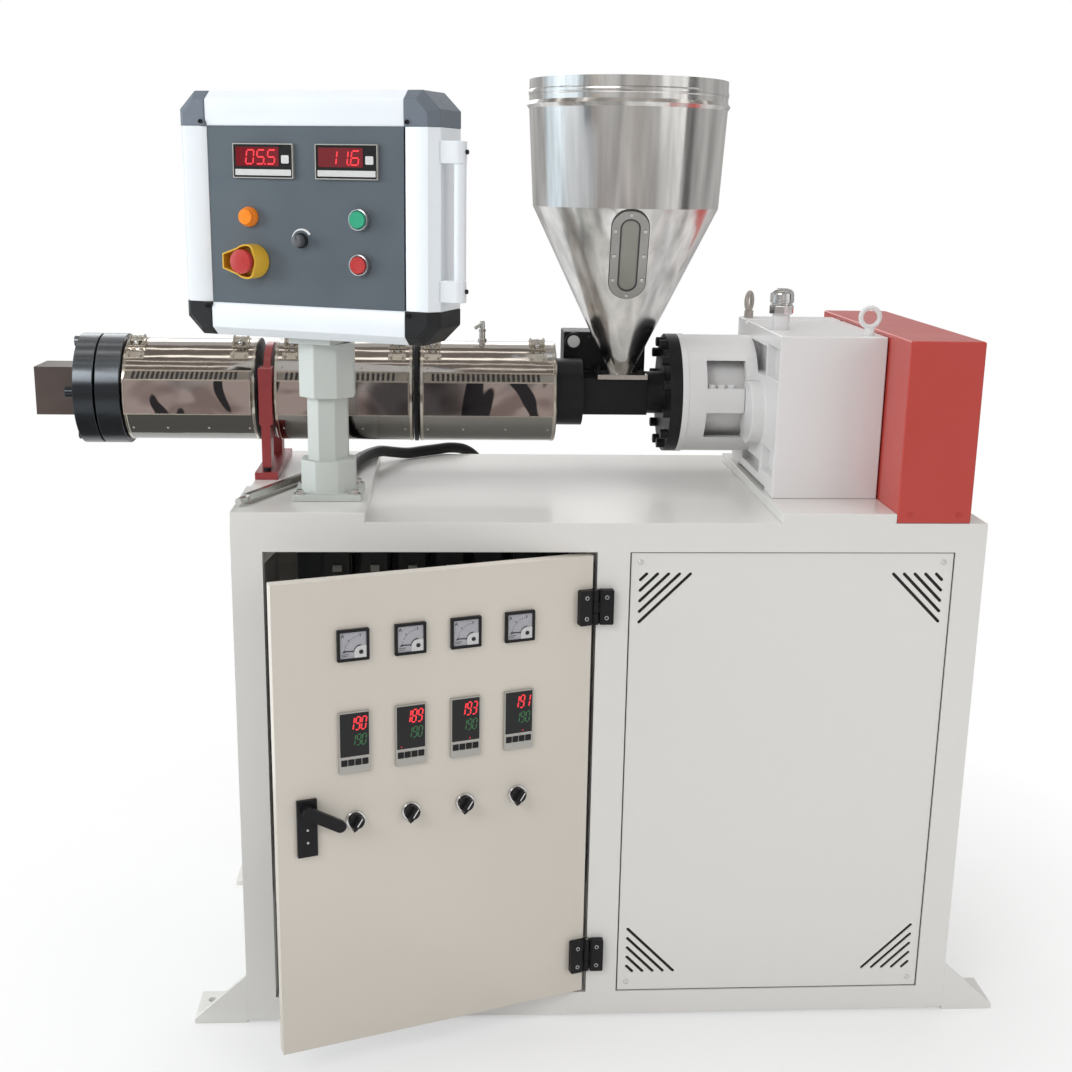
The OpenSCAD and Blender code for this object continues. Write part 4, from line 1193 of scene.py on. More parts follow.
# %% [markdown]
# ## The emergency stop
# The guard is a wall that follows a circle with a tapering wing on its left, with a
# floor inside, so it's drawn as rows of points joined by faces. The red mushroom
# inside it is a turned shape.

# %% Emergency stop
GUARD_R, GUARD_SHIFT, GUARD_WALL, GUARD_DEEP = 25.2, 6.0, 2.8, 24.5
WING_END, WING_HALF, RIM_IN, SHAFT_HOLE_R = -34.3, 11.0, 10.5, 9.0
MUSHROOM = [(0, 6.4), (8, 6.4), (8, 15), (13, 18), (17, 21), (17.8, 23), (17.8, 29.5),
            (16.6, 32), (11, 33.1), (0, 33.3)]


def winged(shrink, lean=0.0):
    """The guard's outline: a circle with a tapering wing on its left."""
    radius = GUARD_R - shrink
    points = []
    for x, z in arc(radius, -128, 128, 40, GUARD_SHIFT):
        if x > 0:
            x -= lean * (x / (GUARD_SHIFT + radius)) ** 2
            x += 0.09 * lean * math.cos(2 * math.pi * z / 25)
        points.append((x, z))
    return points + [(WING_END + shrink, side * WING_HALF * (1 - shrink / 20))
                     for side in (1, -1)]


guard = box @ shift(emergency[0], 0, emergency[1])
bm = bmesh.new()
skin(bm, [row(bm, winged(shrink, lean), y, guard) for shrink, lean, y in (
    (0, 0, 0), (0, 0, -5), (0, RIM_IN, -GUARD_DEEP),
    (GUARD_WALL, RIM_IN, -GUARD_DEEP), (GUARD_WALL, 0, -5), (GUARD_WALL, 0, 0))], loop=True)
base = winged(GUARD_WALL - 0.2)
shaft_hole = [(x * SHAFT_HOLE_R / math.hypot(x, z), z * SHAFT_HOLE_R / math.hypot(x, z))
              for x, z in base]
tube_wall(bm, base, shaft_hole, -4, 0, guard)
make("emergency_guard", bm, yellow_plastic, "control_box", bevel=1.0)
make("emergency_mushroom", lathe(MUSHROOM, on_panel(*emergency)), red_plastic,
     "emergency_push", replaces="emergency_button")
print("emergency stop ready")

# %% [markdown]
# ## The speed knob
# The knob turns on a fixed bush. Its scale is a thin curved wedge that widens
# clockwise, drawn as one flat outline.

# %% Speed knob
BUSH = [(0, 0), (11, 0), (11, 3), (8, 5), (0, 5)]
KNOB = [(0, 5.3), (8.6, 5.3), (9, 6), (8.6, 12), (8, 16.5), (7, 17.3), (0, 17.4)]
make("knob_bush", lathe(BUSH, on_panel(*dial)), black_plastic, "control_box")
dial_x, dial_z = dial
bm = lathe(KNOB, on_panel(*dial))
block(bm, (dial_x - 0.7, -19.0, dial_z + 1), (dial_x + 0.7, -17.2, dial_z + 7.5), box)
make("speed_knob_grip", bm, grey_plastic, "speed_dial", smooth=40, replaces="speed_knob")
SCALE_R, SCALE_GROWS, SCALE_STEPS = 15.2, 2.6, 24
bm = bmesh.new()
prism(bm, [polar(SCALE_R + 0.5 + SCALE_GROWS * k / SCALE_STEPS, 172 - 140 * k / SCALE_STEPS,
                 *dial) for k in range(SCALE_STEPS + 1)]
      + arc(SCALE_R - 0.5, 32, 172, SCALE_STEPS, *dial), -0.4, 0.2, box)
make("speed_scale", bm, ink_white, "control_box")
print("speed knob ready")

# %% [markdown]
# ## The side handle
# Two cast blocks carry a round bar. Each block has one round end, so it's an outline
# with a large radius on the outer side, pushed up through its height.

# %% Side handle
REACH, HANDLE_Y, HANDLE_HALF = 35.0, 20.0, 12.0
outline = ([(BOX_W, HANDLE_Y + HANDLE_HALF), (BOX_W, HANDLE_Y - HANDLE_HALF)]
           + [(BOX_W + REACH - 11 + 11 * u, HANDLE_Y + HANDLE_HALF * v)
              for u, v in arc(1, -90, 90, 12)])
bm = lathe([(0, -84), (9, -84), (9, 80), (0, 80)],
           box @ shift(BOX_W + REACH - 9.5, HANDLE_Y, 0), sides=32)
for z0, z1 in ((-114, -83), (79, 110)):
    prism(bm, outline, z0, z1, box, "Z")
make("side_handle_cast", bm, aluminium, "control_box", bevel=1.4, segments=3,
     replaces="side_handle")
fasten("handle_screws", SOCKET, 3.4,
       [spot(BOX_W + REACH - 0.3, HANDLE_Y, z, box, (1, 0, 0)) for z in (-98, 95)],
       black_metal, "control_box")
print("side handle ready")

# %% [markdown]
# ## Ammeters
# Four square moving-coil meters show the heaters' current. Each is a bezel with a
# sunken dial, an arc of marks, a needle resting at zero and a white corner cover over
# the coil. The marks could be a printed texture, but thin raised bars stay sharp at
# any distance and need no picture.

# %% Ammeters
def bar(bm, start, end, width, y0, y1, place):
    """A thin straight bar between two points of a turned frame."""
    (x0, z0), (x1, z1) = start, end
    along = Vector((x1 - x0, z1 - z0)).normalized() * width / 2
    prism(bm, [(x0 - along.y, z0 + along.x), (x0 + along.y, z0 - along.x),
               (x1 + along.y, z1 - along.x), (x1 - along.y, z1 + along.x)], y0, y1, place)


BEZEL, OPENING, DIAL = rounded(48, 48, 1.6), rounded(39.5, 39.5, 0.8), rounded(40, 40, 0.6)
NEEDLE_ROOT, HUB_R, SCALE_IN = (11.5, -11.0), 10.6, 23.5
UNIT_MARK = [((-17.5, 12), (-15.5, 17)), ((-15.5, 17), (-13.5, 12)),
             ((-16.7, 13.8), (-14.3, 13.8)), ((-17.5, -13.5), (-7, -13.5)),
             ((-17.5, -16), (-9, -16))]
COVER = ([(19.6, -19.6), (19.6, -1.5)] + arc(9.4, 90, 180, 6, 10.5, -11.2) + [(1.1, -19.6)])
ammeters = islands("ammeters", door)
bezels, dials, marks, covers, pivots = (bmesh.new() for _ in range(5))
for lo, hi in ammeters:
    face = face_of(door, lo, hi)
    tube_wall(bezels, BEZEL, OPENING, 5.9, 0.2, face)
    block(bezels, (-22, 5.5, -22), (22, hi.y, 22), face)
    prism(dials, DIAL, 2.4, 5.6, face)
    for k in range(11):
        reach, width = (25.5, 0.55) if k % 5 else (27.5, 1.0)
        bar(marks, polar(SCALE_IN, 178 - 8.6 * k, *NEEDLE_ROOT),
            polar(reach, 178 - 8.6 * k, *NEEDLE_ROOT), width, 2.0, 2.5, face)
    bar(marks, (-14.5, -8.6), (2.5, -9.8), 1.3, 1.5, 2.4, face)
    for a0, a1 in ((180, 150), (150, 120), (120, 92)):
        bar(marks, polar(HUB_R, a0, *NEEDLE_ROOT), polar(HUB_R, a1, *NEEDLE_ROOT),
            1.1, 1.6, 2.4, face)
    for start, end in UNIT_MARK:
        bar(marks, start, end, 0.6, 2.0, 2.5, face)
    prism(covers, COVER, 1.1, 2.5, face)
    turned(pivots, [(0, 0), (3.3, 0), (3.0, 0.8), (0, 0.9)],
           facing(face, NEEDLE_ROOT[0], 1.1, NEEDLE_ROOT[1]), sides=24)
make("ammeter_bezels", bezels, black_plastic, "door", bevel=0.5, replaces="ammeters")
make("ammeter_dials", dials, dial_face, "door")
make("ammeter_marks", marks, ink_black, "door")
make("ammeter_corner_covers", covers, dial_white, "door", bevel=0.3)
make("ammeter_pivots", pivots, ink_black, "door")
print("ammeters", len(ammeters))

# %% [markdown]
# ## Temperature controllers
# Four panel controllers hold the barrel's zones near 190 degrees. A silver case holds
# a smoked window, and under it are four keys. The red figures are the measured
# values and the dim green ones the wanted value.

# %% Controllers
CASE, SCREEN = rounded(48, 96, 1.6), rounded(43.6, 67, 0.8, -0.4, 12.5)
KEY_PITCH, KEY_Z, TICK_PITCH, TICK_Z = 10.6, -30.6, 8, -17.6
controllers = islands("temperature_controllers", door)
cases, windows, keys, red, green, lamps = (bmesh.new() for _ in range(6))
for (lo, hi), shown, lit in zip(controllers, ("190", "189", "193", "191"), (None, 0, 3, 3)):
    face = face_of(door, lo, hi)
    prism(cases, CASE, 1.0, 6.0, face)
    block(cases, (-22, 5.8, -45), (22, hi.y, 45), face)
    prism(windows, SCREEN, 0.5, 1.6, face)
    digits(red, shown, -7.6, 30, 19.5, 9.2, face, 0.2)
    digits(green, "190", -5.2, 4.5, 16.5, 8.2, face, 0.2)
    for k in range(4):
        prism(keys, rounded(9.4, 9.8, 0.8, KEY_PITCH * k - 16.4, KEY_Z), 0.2, 1.6, face)
    for k in range(5):
        if k != lit:
            left = TICK_PITCH * k - 17
            bar(keys, (left, TICK_Z), (left + 3, TICK_Z), 0.5, 0.4, 1.0, face)
    if lit is not None:
        prism(lamps, arc(0.9, 0, 330, 11, 7.2 * lit - 15.5, -17.4), 0.2, 1.0, face)
make("controller_cases", cases, silver_plastic, "door", bevel=0.6,
     replaces="temperature_controllers")
make("controller_windows", windows, black_window, "door")
make("controller_keys", keys, black_plastic, "door", bevel=0.3)
make("controller_red_figures", red, red_digits, "door")
make("controller_green_figures", green, green_digits, "door")
make("controller_lamps", lamps, red_digits, "door")
print("controllers", len(controllers))

# %% [markdown]
# ## Selector switches
# Each selector is a chrome ring, a black skirt and a beaked knob with a white mark.
# The knob's outline is a circle drawn out to a point, pushed forward and bevelled.

# %% Selectors
GRIP_TURN = -33
BEAK = [(0, -14), (4.5, -9), (4.5, 11), (-4.5, 11), (-4.5, -9)]
rings, skirts = bmesh.new(), bmesh.new()
for number in range(1, 5):
    pivot = door.inverted() @ Vector(joints[f"selector_turn_{number}"]["pos_m"]) / MM
    front = facing(door, pivot.x, 6, pivot.z)
    turned(rings, [(0, 0), (15.2, 0), (15.2, 3.4), (14.2, 5.0), (11.4, 5.2), (11.4, 4.0),
                   (0, 4.0)], front)
    block(rings, (pivot.x - 11, 26, pivot.z - 18), (pivot.x + 11, 54, pivot.z + 18), door)
    turned(rings, [(0, -21), (10, -21), (10, 0), (0, 0)], front, sides=24)
    turned(skirts, [(0, 4.4), (11, 4.4), (11, 5.4), (0, 5.4)], front, sides=32)
    bm = lathe([(0, 5.7), (12, 5.7), (12, 11.2), (11, 12.2), (0, 12.2)], front)
    grip = front @ turn(GRIP_TURN, "Z")
    skin(bm, [row(bm, scaled(BEAK, 1.15, 1), 11, grip, "Z"),
              row(bm, scaled(BEAK, 0.62, 1), 21.2, grip, "Z")])
    make(f"selector_grip_{number}", bm, black_plastic, f"selector_{number}", bevel=0.8,
         replaces=f"selector_knob_{number}")
    make(f"selector_mark_{number}", blocks([((-0.8, -4, 20.6), (0.8, 10.4, 21.3))], grip),
         ink_white, f"selector_{number}")
make("selector_rings", rings, chrome, "door", bevel=0.4,
     replaces="selector_bodies")
make("selector_skirts", skirts, black_plastic, "door")
print("selectors ready")

# %% [markdown]
# ## The lock
# The lock's plate and lever keep their CAD shapes with softer edges, and two screws
# hold the plate.

# %% Lock
softened("lock_plate", black_metal, 0.8, "door")
softened("lock_lever", black_metal, 0.9, "lock_handle")
lo, hi = islands("lock_plate", door)[0]
fasten("lock_screws", PAN, 1.9,
       [spot((lo.x + hi.x) / 2, lo.y, lo.z + up, door) for up in (23, 43)],
       bright_steel, "door")
print("lock ready")

# %% [markdown]
# ## The hinges
# A hinge's two leaves have rolled knuckles on one pin. The door's leaf has the outer
# two and rides on the door, and the frame's leaf has the middle one.

# %% Hinges
LEAF_IN, LEAF_OUT, LEAF_ROUND, PIN_R, SCREW_X = 8.8, 28.0, 2.5, 6.0, 17.0
door_leaves, frame_leaves, pins = bmesh.new(), bmesh.new(), bmesh.new()
door_screws, frame_screws = [], []
for lo, hi in islands("frame_hinge_leaves"):
    third = (hi.z - lo.z) / 3
    bottom, top = lo.z + 0.2, hi.z - 0.2
    leaf = ([(LEAF_IN, bottom)]
            + arc(LEAF_ROUND, -90, 0, 3, LEAF_OUT - LEAF_ROUND, bottom + LEAF_ROUND)
            + arc(LEAF_ROUND, 0, 90, 3, LEAF_OUT - LEAF_ROUND, top - LEAF_ROUND)
            + [(LEAF_IN, top)])
    root = [(PIN_R + 0.4, -3.9), (LEAF_IN + 0.1, -5.6), (LEAF_IN + 0.1, 5.8),
            (PIN_R + 0.4, 5.8)]
    roll = [(0, -2.4), (LEAF_IN + 0.1, -2.4), (LEAF_IN + 0.1, 5.7), (0, 5.7)]
    for place, bm, side, screws, knuckles in (
            (door, door_leaves, -1, door_screws,
             ((lo.z, lo.z + third - 0.3), (hi.z - third + 0.3, hi.z))),
            (unturned, frame_leaves, 1, frame_screws,
             ((lo.z + third + 0.3, hi.z - third - 0.3),))):
        prism(bm, scaled(leaf, side, 1), -5.7, 5.9, place)
        prism(bm, scaled(root, side, 1), bottom, top, place, "Z")
        for z0, z1 in knuckles:
            turned(bm, [(0, z0), (PIN_R - 0.1, z0), (PIN_R - 0.1, z1), (0, z1)], place,
                   sides=32)
            prism(bm, scaled(roll, side, 1), z0, z1, place, "Z")
        screws += [spot(side * SCREW_X, -3.2, z, place) for z in (lo.z + 11.5, hi.z - 11.5)]
    turned(pins, [(0, lo.z - 0.2), (3, lo.z - 0.2), (3, lo.z + 2), (0, lo.z + 2)], unturned,
           sides=20)
    turned(pins, [(0, hi.z - 2), (3, hi.z - 2), (3, hi.z + 0.4), (0, hi.z + 0.6)], unturned,
           sides=20)
make("door_hinge_plates", door_leaves, hinge_steel, "door", bevel=0.6,
     replaces="door_hinge_leaves")
make("frame_hinge_plates", frame_leaves, hinge_steel, bevel=0.6,
     replaces="frame_hinge_leaves")
make("hinge_pins", pins, bright_steel)
fasten("door_hinge_screws", SOCKET, 3.6, door_screws, bezel_steel, "door")
fasten("frame_hinge_screws", SOCKET, 3.6, frame_screws, bezel_steel)
print("hinges ready")

# %% [markdown]
# ## Panel joints
# The vent panel sits in its opening with a narrow dark joint all round, and round white
# screws hold its corners. The joint is a thin black strip, painted shade for the shadowed
# side of the opening, since a gap alone would show the bright inside of the cabinet.

# %% Vent panel joint and screws
JOINT = 1.7
lo, hi = corners("vent_panel")
make("vent_panel_joint", blocks([
    ((x0 + 0.05, lo.y - 0.15, z0 + 0.05), (x1 - 0.05, lo.y + 0.8, z1 - 0.05))
    for x0, x1, z0, z1 in ((lo.x, lo.x + JOINT + 0.6, lo.z, hi.z),
                           (hi.x - JOINT, hi.x, lo.z, hi.z),
                           (lo.x, hi.x, lo.z, lo.z + JOINT - 0.5),
                           (lo.x, hi.x, hi.z - JOINT, hi.z))]), joint_black)
fasten("vent_panel_screws", DOME, 4.3,
       [spot(x, lo.y, z) for x in (lo.x + 16.5, hi.x - 16.5) for z in (lo.z + 16, hi.z - 16)],
       white_screw)
# Black mats behind the panel's slots are painted shade: the slots look dark instead of showing
# the bright inside of the cabinet.
make("vent_filter_mats", blocks([((x, hi.y + 1, z), (x + 106, hi.y + 7, z + 106))
                                 for x in (lo.x + 12, hi.x - 118)
                                 for z in (lo.z + 30, hi.z - 136)]),
     slot_black)
print("vent panel ready")

# %% [markdown]
# ## The heater covers
# Three polished drums hide the band heaters. On the front each has a nearly flat mirror
# plate under a row of vent slots, and its halves are held by spring latches. The slots
# are Geometry Nodes instances on the sloping sheet, so their number is one value.

# %% Measures of the covers
barrel_lo, barrel_hi = corners("barrel_tube")
AXIS_Y, AXIS_Z = (barrel_lo.y + barrel_hi.y) / 2, (barrel_lo.z + barrel_hi.z) / 2
axis = shift(0, AXIS_Y, AXIS_Z)
along = axis @ turn(90, "Y")
drums = islands("heater_covers")
DRUM_R, BORE = drums[0][1].z - AXIS_Z, barrel_hi.y - AXIS_Y + 1
BOX_HALF, SLOPE_BACK, SLOPE_RISE, INSET = 28.0, 24.0, 11.5, 7.0
FRONT = drums[0][0].y - AXIS_Y
SLOPE_Y, SLOPE_Z = FRONT + SLOPE_BACK, BOX_HALF + SLOPE_RISE
PLATE_STEPS, PLATE_ROWS = 14, 4


def ring(bm, x0, x1, inner, outer, soft=0.6):
    """A ring round the barrel's axis, with its outer edges cut."""
    turned(bm, [(inner, x0), (outer - soft, x0), (outer, x0 + soft), (outer, x1 - soft),
                (outer - soft, x1), (inner, x1)], along, sides=96)


def bulge(u, v, x0):
    """How far a mirror plate stands out at a part (u, v) of its width and height."""
    return (1.1 * math.sin(math.pi * u) + 0.35 * math.sin(9.0 * u + 0.02 * x0)) * math.sin(
        math.pi * v)
print("drum radius", round(DRUM_R, 1))

# %% [markdown]
# ## Drums and mirror plates
# A flat plate would reflect like glass, so each mirror plate is a small grid that
# bulges a little between its edges and bends what it mirrors.

# %% Drums
drum_bm, box_bm, plate_bm, trim_bm, strap_bm, vent_bm = (bmesh.new() for _ in range(6))
for lo, hi in drums:
    x0, x1 = lo.x + INSET, hi.x - INSET
    ring(drum_bm, lo.x, hi.x, BORE, DRUM_R, 1.2)
    prism(box_bm, [(FRONT, -BOX_HALF), (FRONT, BOX_HALF), (SLOPE_Y, SLOPE_Z),
                   (-60, BOX_HALF + 2), (-60, -BOX_HALF)], x0, x1, axis, "X")
    prism(vent_bm, [(FRONT + 1, BOX_HALF), (FRONT + 1, BOX_HALF + 1),
                    (SLOPE_Y - 1, SLOPE_Z + 0.1), (SLOPE_Y - 1, SLOPE_Z - 1)],
          x0 + 1.5, x1 - 1.5, axis, "X")
    columns = [[plate_bm.verts.new(at(
        axis, x0 + 1 + (x1 - x0 - 2) * i / PLATE_STEPS,
        FRONT - 0.3 - bulge(i / PLATE_STEPS, k / PLATE_ROWS, lo.x),
        (BOX_HALF - 1) * (2 * k / PLATE_ROWS - 1)))
        for k in range(PLATE_ROWS + 1)] for i in range(PLATE_STEPS + 1)]
    for a, b in zip(columns, columns[1:]):
        for k in range(PLATE_ROWS):
            plate_bm.faces.new((a[k], b[k], b[k + 1], a[k + 1]))
    for y0, y1, z0, z1 in ((FRONT - 1.2, FRONT + 1, BOX_HALF - 1.0, BOX_HALF + 1.4),
                           (FRONT - 1.0, FRONT + 1, -BOX_HALF - 0.8, -BOX_HALF + 0.8),
                           (SLOPE_Y - 2, SLOPE_Y + 2, SLOPE_Z - 1, SLOPE_Z + 2.2)):
        block(trim_bm, (x0 - 1, y0, z0), (x1 + 1, y1, z1), axis)
    for x in (x0, x1):
        block(trim_bm, (x - 0.9, FRONT - 0.9, -BOX_HALF), (x + 0.9, FRONT + 1, BOX_HALF), axis)
    for x in (lo.x + 1.5, hi.x - 6.5):
        ring(strap_bm, x, x + 5, DRUM_R - 1, DRUM_R + 0.9)
make("heater_drums", drum_bm, cover_steel, replaces="heater_covers")
make("heater_boxes", box_bm, cover_steel, bevel=0.8)
make("vent_strips", vent_bm, vent_steel)
# The mirror plates carry painted reflections in their colour.
make("heater_plates", plate_bm, plate_steel, smooth=60)
make("heater_trims", trim_bm, brass_steel, bevel=0.4)
make("heater_straps", strap_bm, brass_steel)
print("drums", len(drums))

# %% [markdown]
# ## Slots and screws on the covers
# The slots lie in a row on the sloping sheet above each mirror plate, and small domed
# screws sit round both ends and the middle of each drum.

# %% Vent slots and small screws
SLOTS, SLOT_START, SLOT_END = 22, 0.10, 0.86
slope = Vector((0, -SLOPE_RISE, SLOPE_BACK)).normalized()
slots, screws = [], []
for lo, hi in drums:
    wide = hi.x - lo.x
    for k in range(SLOTS):
        part = SLOT_START + (SLOT_END - SLOT_START) * k / (SLOTS - 1)
        slots.append(spot(lo.x + wide * part, FRONT + SLOPE_BACK / 2,
                          BOX_HALF + SLOPE_RISE / 2 + 0.7, axis, slope))
    for part in (0.06, 0.32, 0.63, 0.94):
        for degrees in (34, -42, 146, 214):
            ahead, up = polar(1, degrees)
            screws.append(spot(lo.x + wide * part, -DRUM_R * ahead, DRUM_R * up, axis,
                               (0, -ahead, up)))
fasten("heater_slots", SLOT, 10.2, slots, slot_black)
fasten("heater_screws", DOME, 2.1, screws, brass_steel)
print("slots", len(slots), "screws", len(screws))

# %% [markdown]
# ## Spring latches
# Each cover's halves are pulled together by spring latches on top. A latch is a small
# assembly of a base, two ears, a pin and a spring, drawn once in its own frame and
# placed on every lug of the CAD model. The spring is a turned shape with a wavy
# profile, which reads as coils without a helix.

# %% Latches
LUG_WIDE, LUG_TILT, EAR_TILT = 20.0, 20.0, 21.0
heater_fittings = islands("heater_fittings")
lugs = [(lo, hi) for lo, hi in heater_fittings if hi.x - lo.x > LUG_WIDE]


def coils(inner, outer, start, turns, end):
    """The wavy profile of a spring with 2 mm between its turns."""
    waves = [point for k in range(turns)
             for point in ((inner, start + 2 * k), (outer, start + 2 * k + 1))]
    return [(0, start)] + waves + [(end, start + 2 * turns), (0, start + 2 * turns)]


latch_bm, spring_bm, screws = bmesh.new(), bmesh.new(), []
for lo, hi in lugs:
    here, lower, upper = (axis @ shift((lo.x + hi.x) / 2, 0, 0) @ turn(LUG_TILT + more, "X")
                          for more in (0, EAR_TILT, -EAR_TILT))
    block(latch_bm, (-14, -13, 84.0), (14, 13, 86.6), here)
    block(latch_bm, (-15, -8, 83.6), (15, 6, 85.6), lower)
    block(latch_bm, (-13, -6, 83.6), (13, 7, 85.6), upper)
    for side in (-1, 1):
        block(latch_bm, (side * 12.6, -12, 86), (side * 9.6, 12, 95.5), here)
        block(latch_bm, (side * 11, -6, 85), (side * 8.4, 3, 91), lower)
    block(latch_bm, (-8.2, -11.5, 94.0), (8.2, 1.5, 96.2), here)
    turned(latch_bm, [(0, -13.6), (2.6, -13.6), (2.6, 13.6), (0, 13.6)],
           here @ shift(0, 8, 92) @ turn(90, "Y"), sides=16)
    turned(spring_bm, coils(2.9, 4.0, -12, 12, end=2.9), facing(here, 0, 0, 90.4), sides=16)
    screws += [spot(0, -5, 96.2, here, UP, 0.6), spot(-10, -1, 85.6, lower, UP, 0.2),
               spot(10, -1, 85.6, lower, UP, 1.2)]
make("latches", latch_bm, brass_steel, bevel=0.5,
     replaces="heater_fittings")
make("latch_springs", spring_bm, chrome)
fasten("latch_screws", SLOTTED, 3.6, screws, bright_steel)
print("latches", len(lugs))

# %% [markdown]
# ## The thermocouple and the end discs
# A probe stands on the middle drum with the start of its armoured lead. Dark discs
# close the ends of the covers, and each is a turned ring.

# %% Thermocouple and dark end discs
lo, hi = next((lo, hi) for lo, hi in heater_fittings if hi.x - lo.x < LUG_WIDE)
probe = shift((lo.x + hi.x) / 2, (lo.y + hi.y) / 2, lo.z)
bm = bmesh.new()
for sides, profile in (
        (6, [(0, -2), (7.5, -2), (7.5, 4), (6.2, 5), (0, 5)]),
        (24, [(0, 4), (5.2, 4), (5.2, 17), (0, 17)]),
        (6, [(0, 17), (6.2, 17), (6.2, 20.5), (0, 20.5)]),
        (24, [(0, 20), (4.4, 20), (4.4, 32), (3.4, 35), (0, 36)])):
    turned(bm, profile, probe, sides)
lead = probe @ shift(0, 0, 30) @ turn(24, "Z") @ turn(-118, "Y")
turned(bm, coils(2.6, 3.3, 0, 8, end=2.4), lead, sides=20)
make("thermocouple", bm, bright_steel, bevel=0.3)
bm = bmesh.new()
first, second, third = drums
ring(bm, first[1].x, first[1].x + 2.6, BORE, DRUM_R + 2.2)
ring(bm, second[1].x + 1.5, third[0].x - 1.5, BORE, DRUM_R + 1.6)
make("heater_end_discs", bm, black_metal)
print("thermocouple at", [round(part) for part in lo])

# %% [markdown]
# ## Clamp rings, die and flanges
# Two heavy turned rings clamp the die to the barrel, and a bolted flange joins the feed
# throat to the gearbox. Their CAD shape is complete, so each takes rounded edges from a
# bevel.

# %% Clamp rings, die and throat
softened("clamp_rings", ring_steel, 1.6, segments=3)
softened("die_block", die_steel, 1.4)
softened("feed_throat", black_metal, 1.2)
softened("drive_flange", black_metal, 1.0)
softened("barrel_support", support_shaded_red, 1.6)
softened("lantern_housing", gear_enamel, 1.6)
softened("gearbox_housing", gear_enamel, 2.0, segments=3)
softened("belt_guard", red_paint, 3.0, segments=3)
softened("tabletop", cabinet_enamel, 0.8)
softened("machined_seats", cabinet_enamel, 1.4)
softened("foot_brackets", cabinet_enamel, 1.2)
softened("control_post", post_enamel, 1.6)
softened("hex_bar", bright_steel, 0.8)
softened("junction_box", black_plastic, 5.0, segments=4)
softened("conduit_glands", black_plastic, 0.6)
softened("door_panel", door_enamel, 1.0, "door")
print("housings softened")

# %% [markdown]
# ## The hopper's window and base
# A window frame with eight screws lies on the hopper's cone. Its parts are drawn flat
# in a frame that follows the cone: turned with the window, then tipped by the cone's
# slope, which comes from the radii at its top and neck.

# %% Sight window
CONE_TOP_R, CONE_NECK_R, CONE_HIGH = 155.0, 20.0, 277.0
WINDOW_TURN, RIM = -3.0, 15.0
base_lo, base_hi = corners("hopper_base_plate")
HOPPER_X, HOPPER_Y = (base_lo.x + base_hi.x) / 2, (base_lo.y + base_hi.y) / 2
lo, hi = corners("sight_frame")
cone = (shift(HOPPER_X, HOPPER_Y, (lo.z + hi.z) / 2) @ turn(WINDOW_TURN, "Z")
        @ Matrix.Rotation(math.atan((CONE_TOP_R - CONE_NECK_R) / CONE_HIGH), 4, "X"))
lo, hi = islands("sight_frame", cone)[0]
window = cone @ shift((lo.x + hi.x) / 2, lo.y, (lo.z + hi.z) / 2)
WINDOW_W, WINDOW_L = hi.x - lo.x, hi.z - lo.z


def rim(bm, outer, inner, y0, y1):
    """A ring whose edges are wider or narrower than the window's flange."""
    tube_wall(bm, oval(WINDOW_W + outer, WINDOW_L + outer),
              oval(WINDOW_W + inner, WINDOW_L + inner), y0, y1, window)


# Two thin black rings lie under the flange's outer edge and round the glass; the inner one is
# painted shade for the groove round the glass.
bm = bmesh.new()
rim(bm, 1.6, -4, 1.2, 6)
rim(bm, 2.4 - 2 * RIM, -2.6 - 2 * RIM, -0.25, 3)
make("sight_gasket", bm, joint_black)
bm = bmesh.new()
rim(bm, 0, 1 - 2 * RIM, 0, 4)
make("sight_flange", bm, window_steel, bevel=0.8,
     replaces="sight_frame")
side_x, end_z = WINDOW_W / 2 - 6.2, WINDOW_L / 2 - 6.2
holes = [(0, end_z), (0, -end_z)] + [(x, z) for x in (-side_x, side_x) for z in (-44, 0, 44)]
fasten("sight_screws", SLOTTED, 3.0,
       [spot(x, 0, z, window, spin=0.7 * k) for k, (x, z) in enumerate(holes)], bright_steel)
fasten("hopper_base_bolts", SOCKET, 6.2,
       [spot(x, y, base_hi.z - 0.2, out=UP) for x in (base_lo.x + 10, base_hi.x - 10)
        for y in (base_lo.y + 10, base_hi.y - 10)], black_metal)
softened("hopper_base_plate", bright_steel, 0.8)
print("window", round(WINDOW_W), round(WINDOW_L))

# %% [markdown]
# ## Gearbox fittings
# The breather has a painted neck and a chrome cap, one eyebolt is painted with the box
# and the other was left bare, so each solid of that CAD node gets its own finish.

# %% Breather and eyebolts
rear_eye, breather, front_eye = islands("gearbox_fittings")
for name, (lo, _), finish in (("rear_eyebolt", rear_eye, eye_steel),
                              ("front_eyebolt", front_eye, gear_enamel)):
    make(name, solid_at("gearbox_fittings", lo.x), finish, smooth=40)
lo, hi = breather
stand = shift((lo.x + hi.x) / 2, (lo.y + hi.y) / 2, lo.z)
make("breather_neck", lathe([(0, 0), (14, 0), (14, 26), (0, 26)], stand), gear_enamel,
     replaces="gearbox_fittings")
bm = lathe([(0, 24), (18, 24), (19.9, 26), (19.9, 38), (18, 40), (0, 40)], stand, sides=8)
turned(bm, [(0, 39), (17.0, 39), (17.0, 42), (19.2, 43.5), (19.2, 56), (18.2, 60), (15, 63.6),
            (9, 65.5), (0, 66)], stand, sides=56)
turned(bm, [(0, 47), (19.8, 47), (19.8, 48.2), (0, 48.2)], stand, sides=56)
make("breather_cap", bm, chrome, bevel=0.4)
print("fittings ready")

# %% [markdown]
# ## Inside the lantern
# Two windows of the lantern show the bearing housing in it and the heads of its
# bolts. They aren't load-bearing here, so they are left to this script.

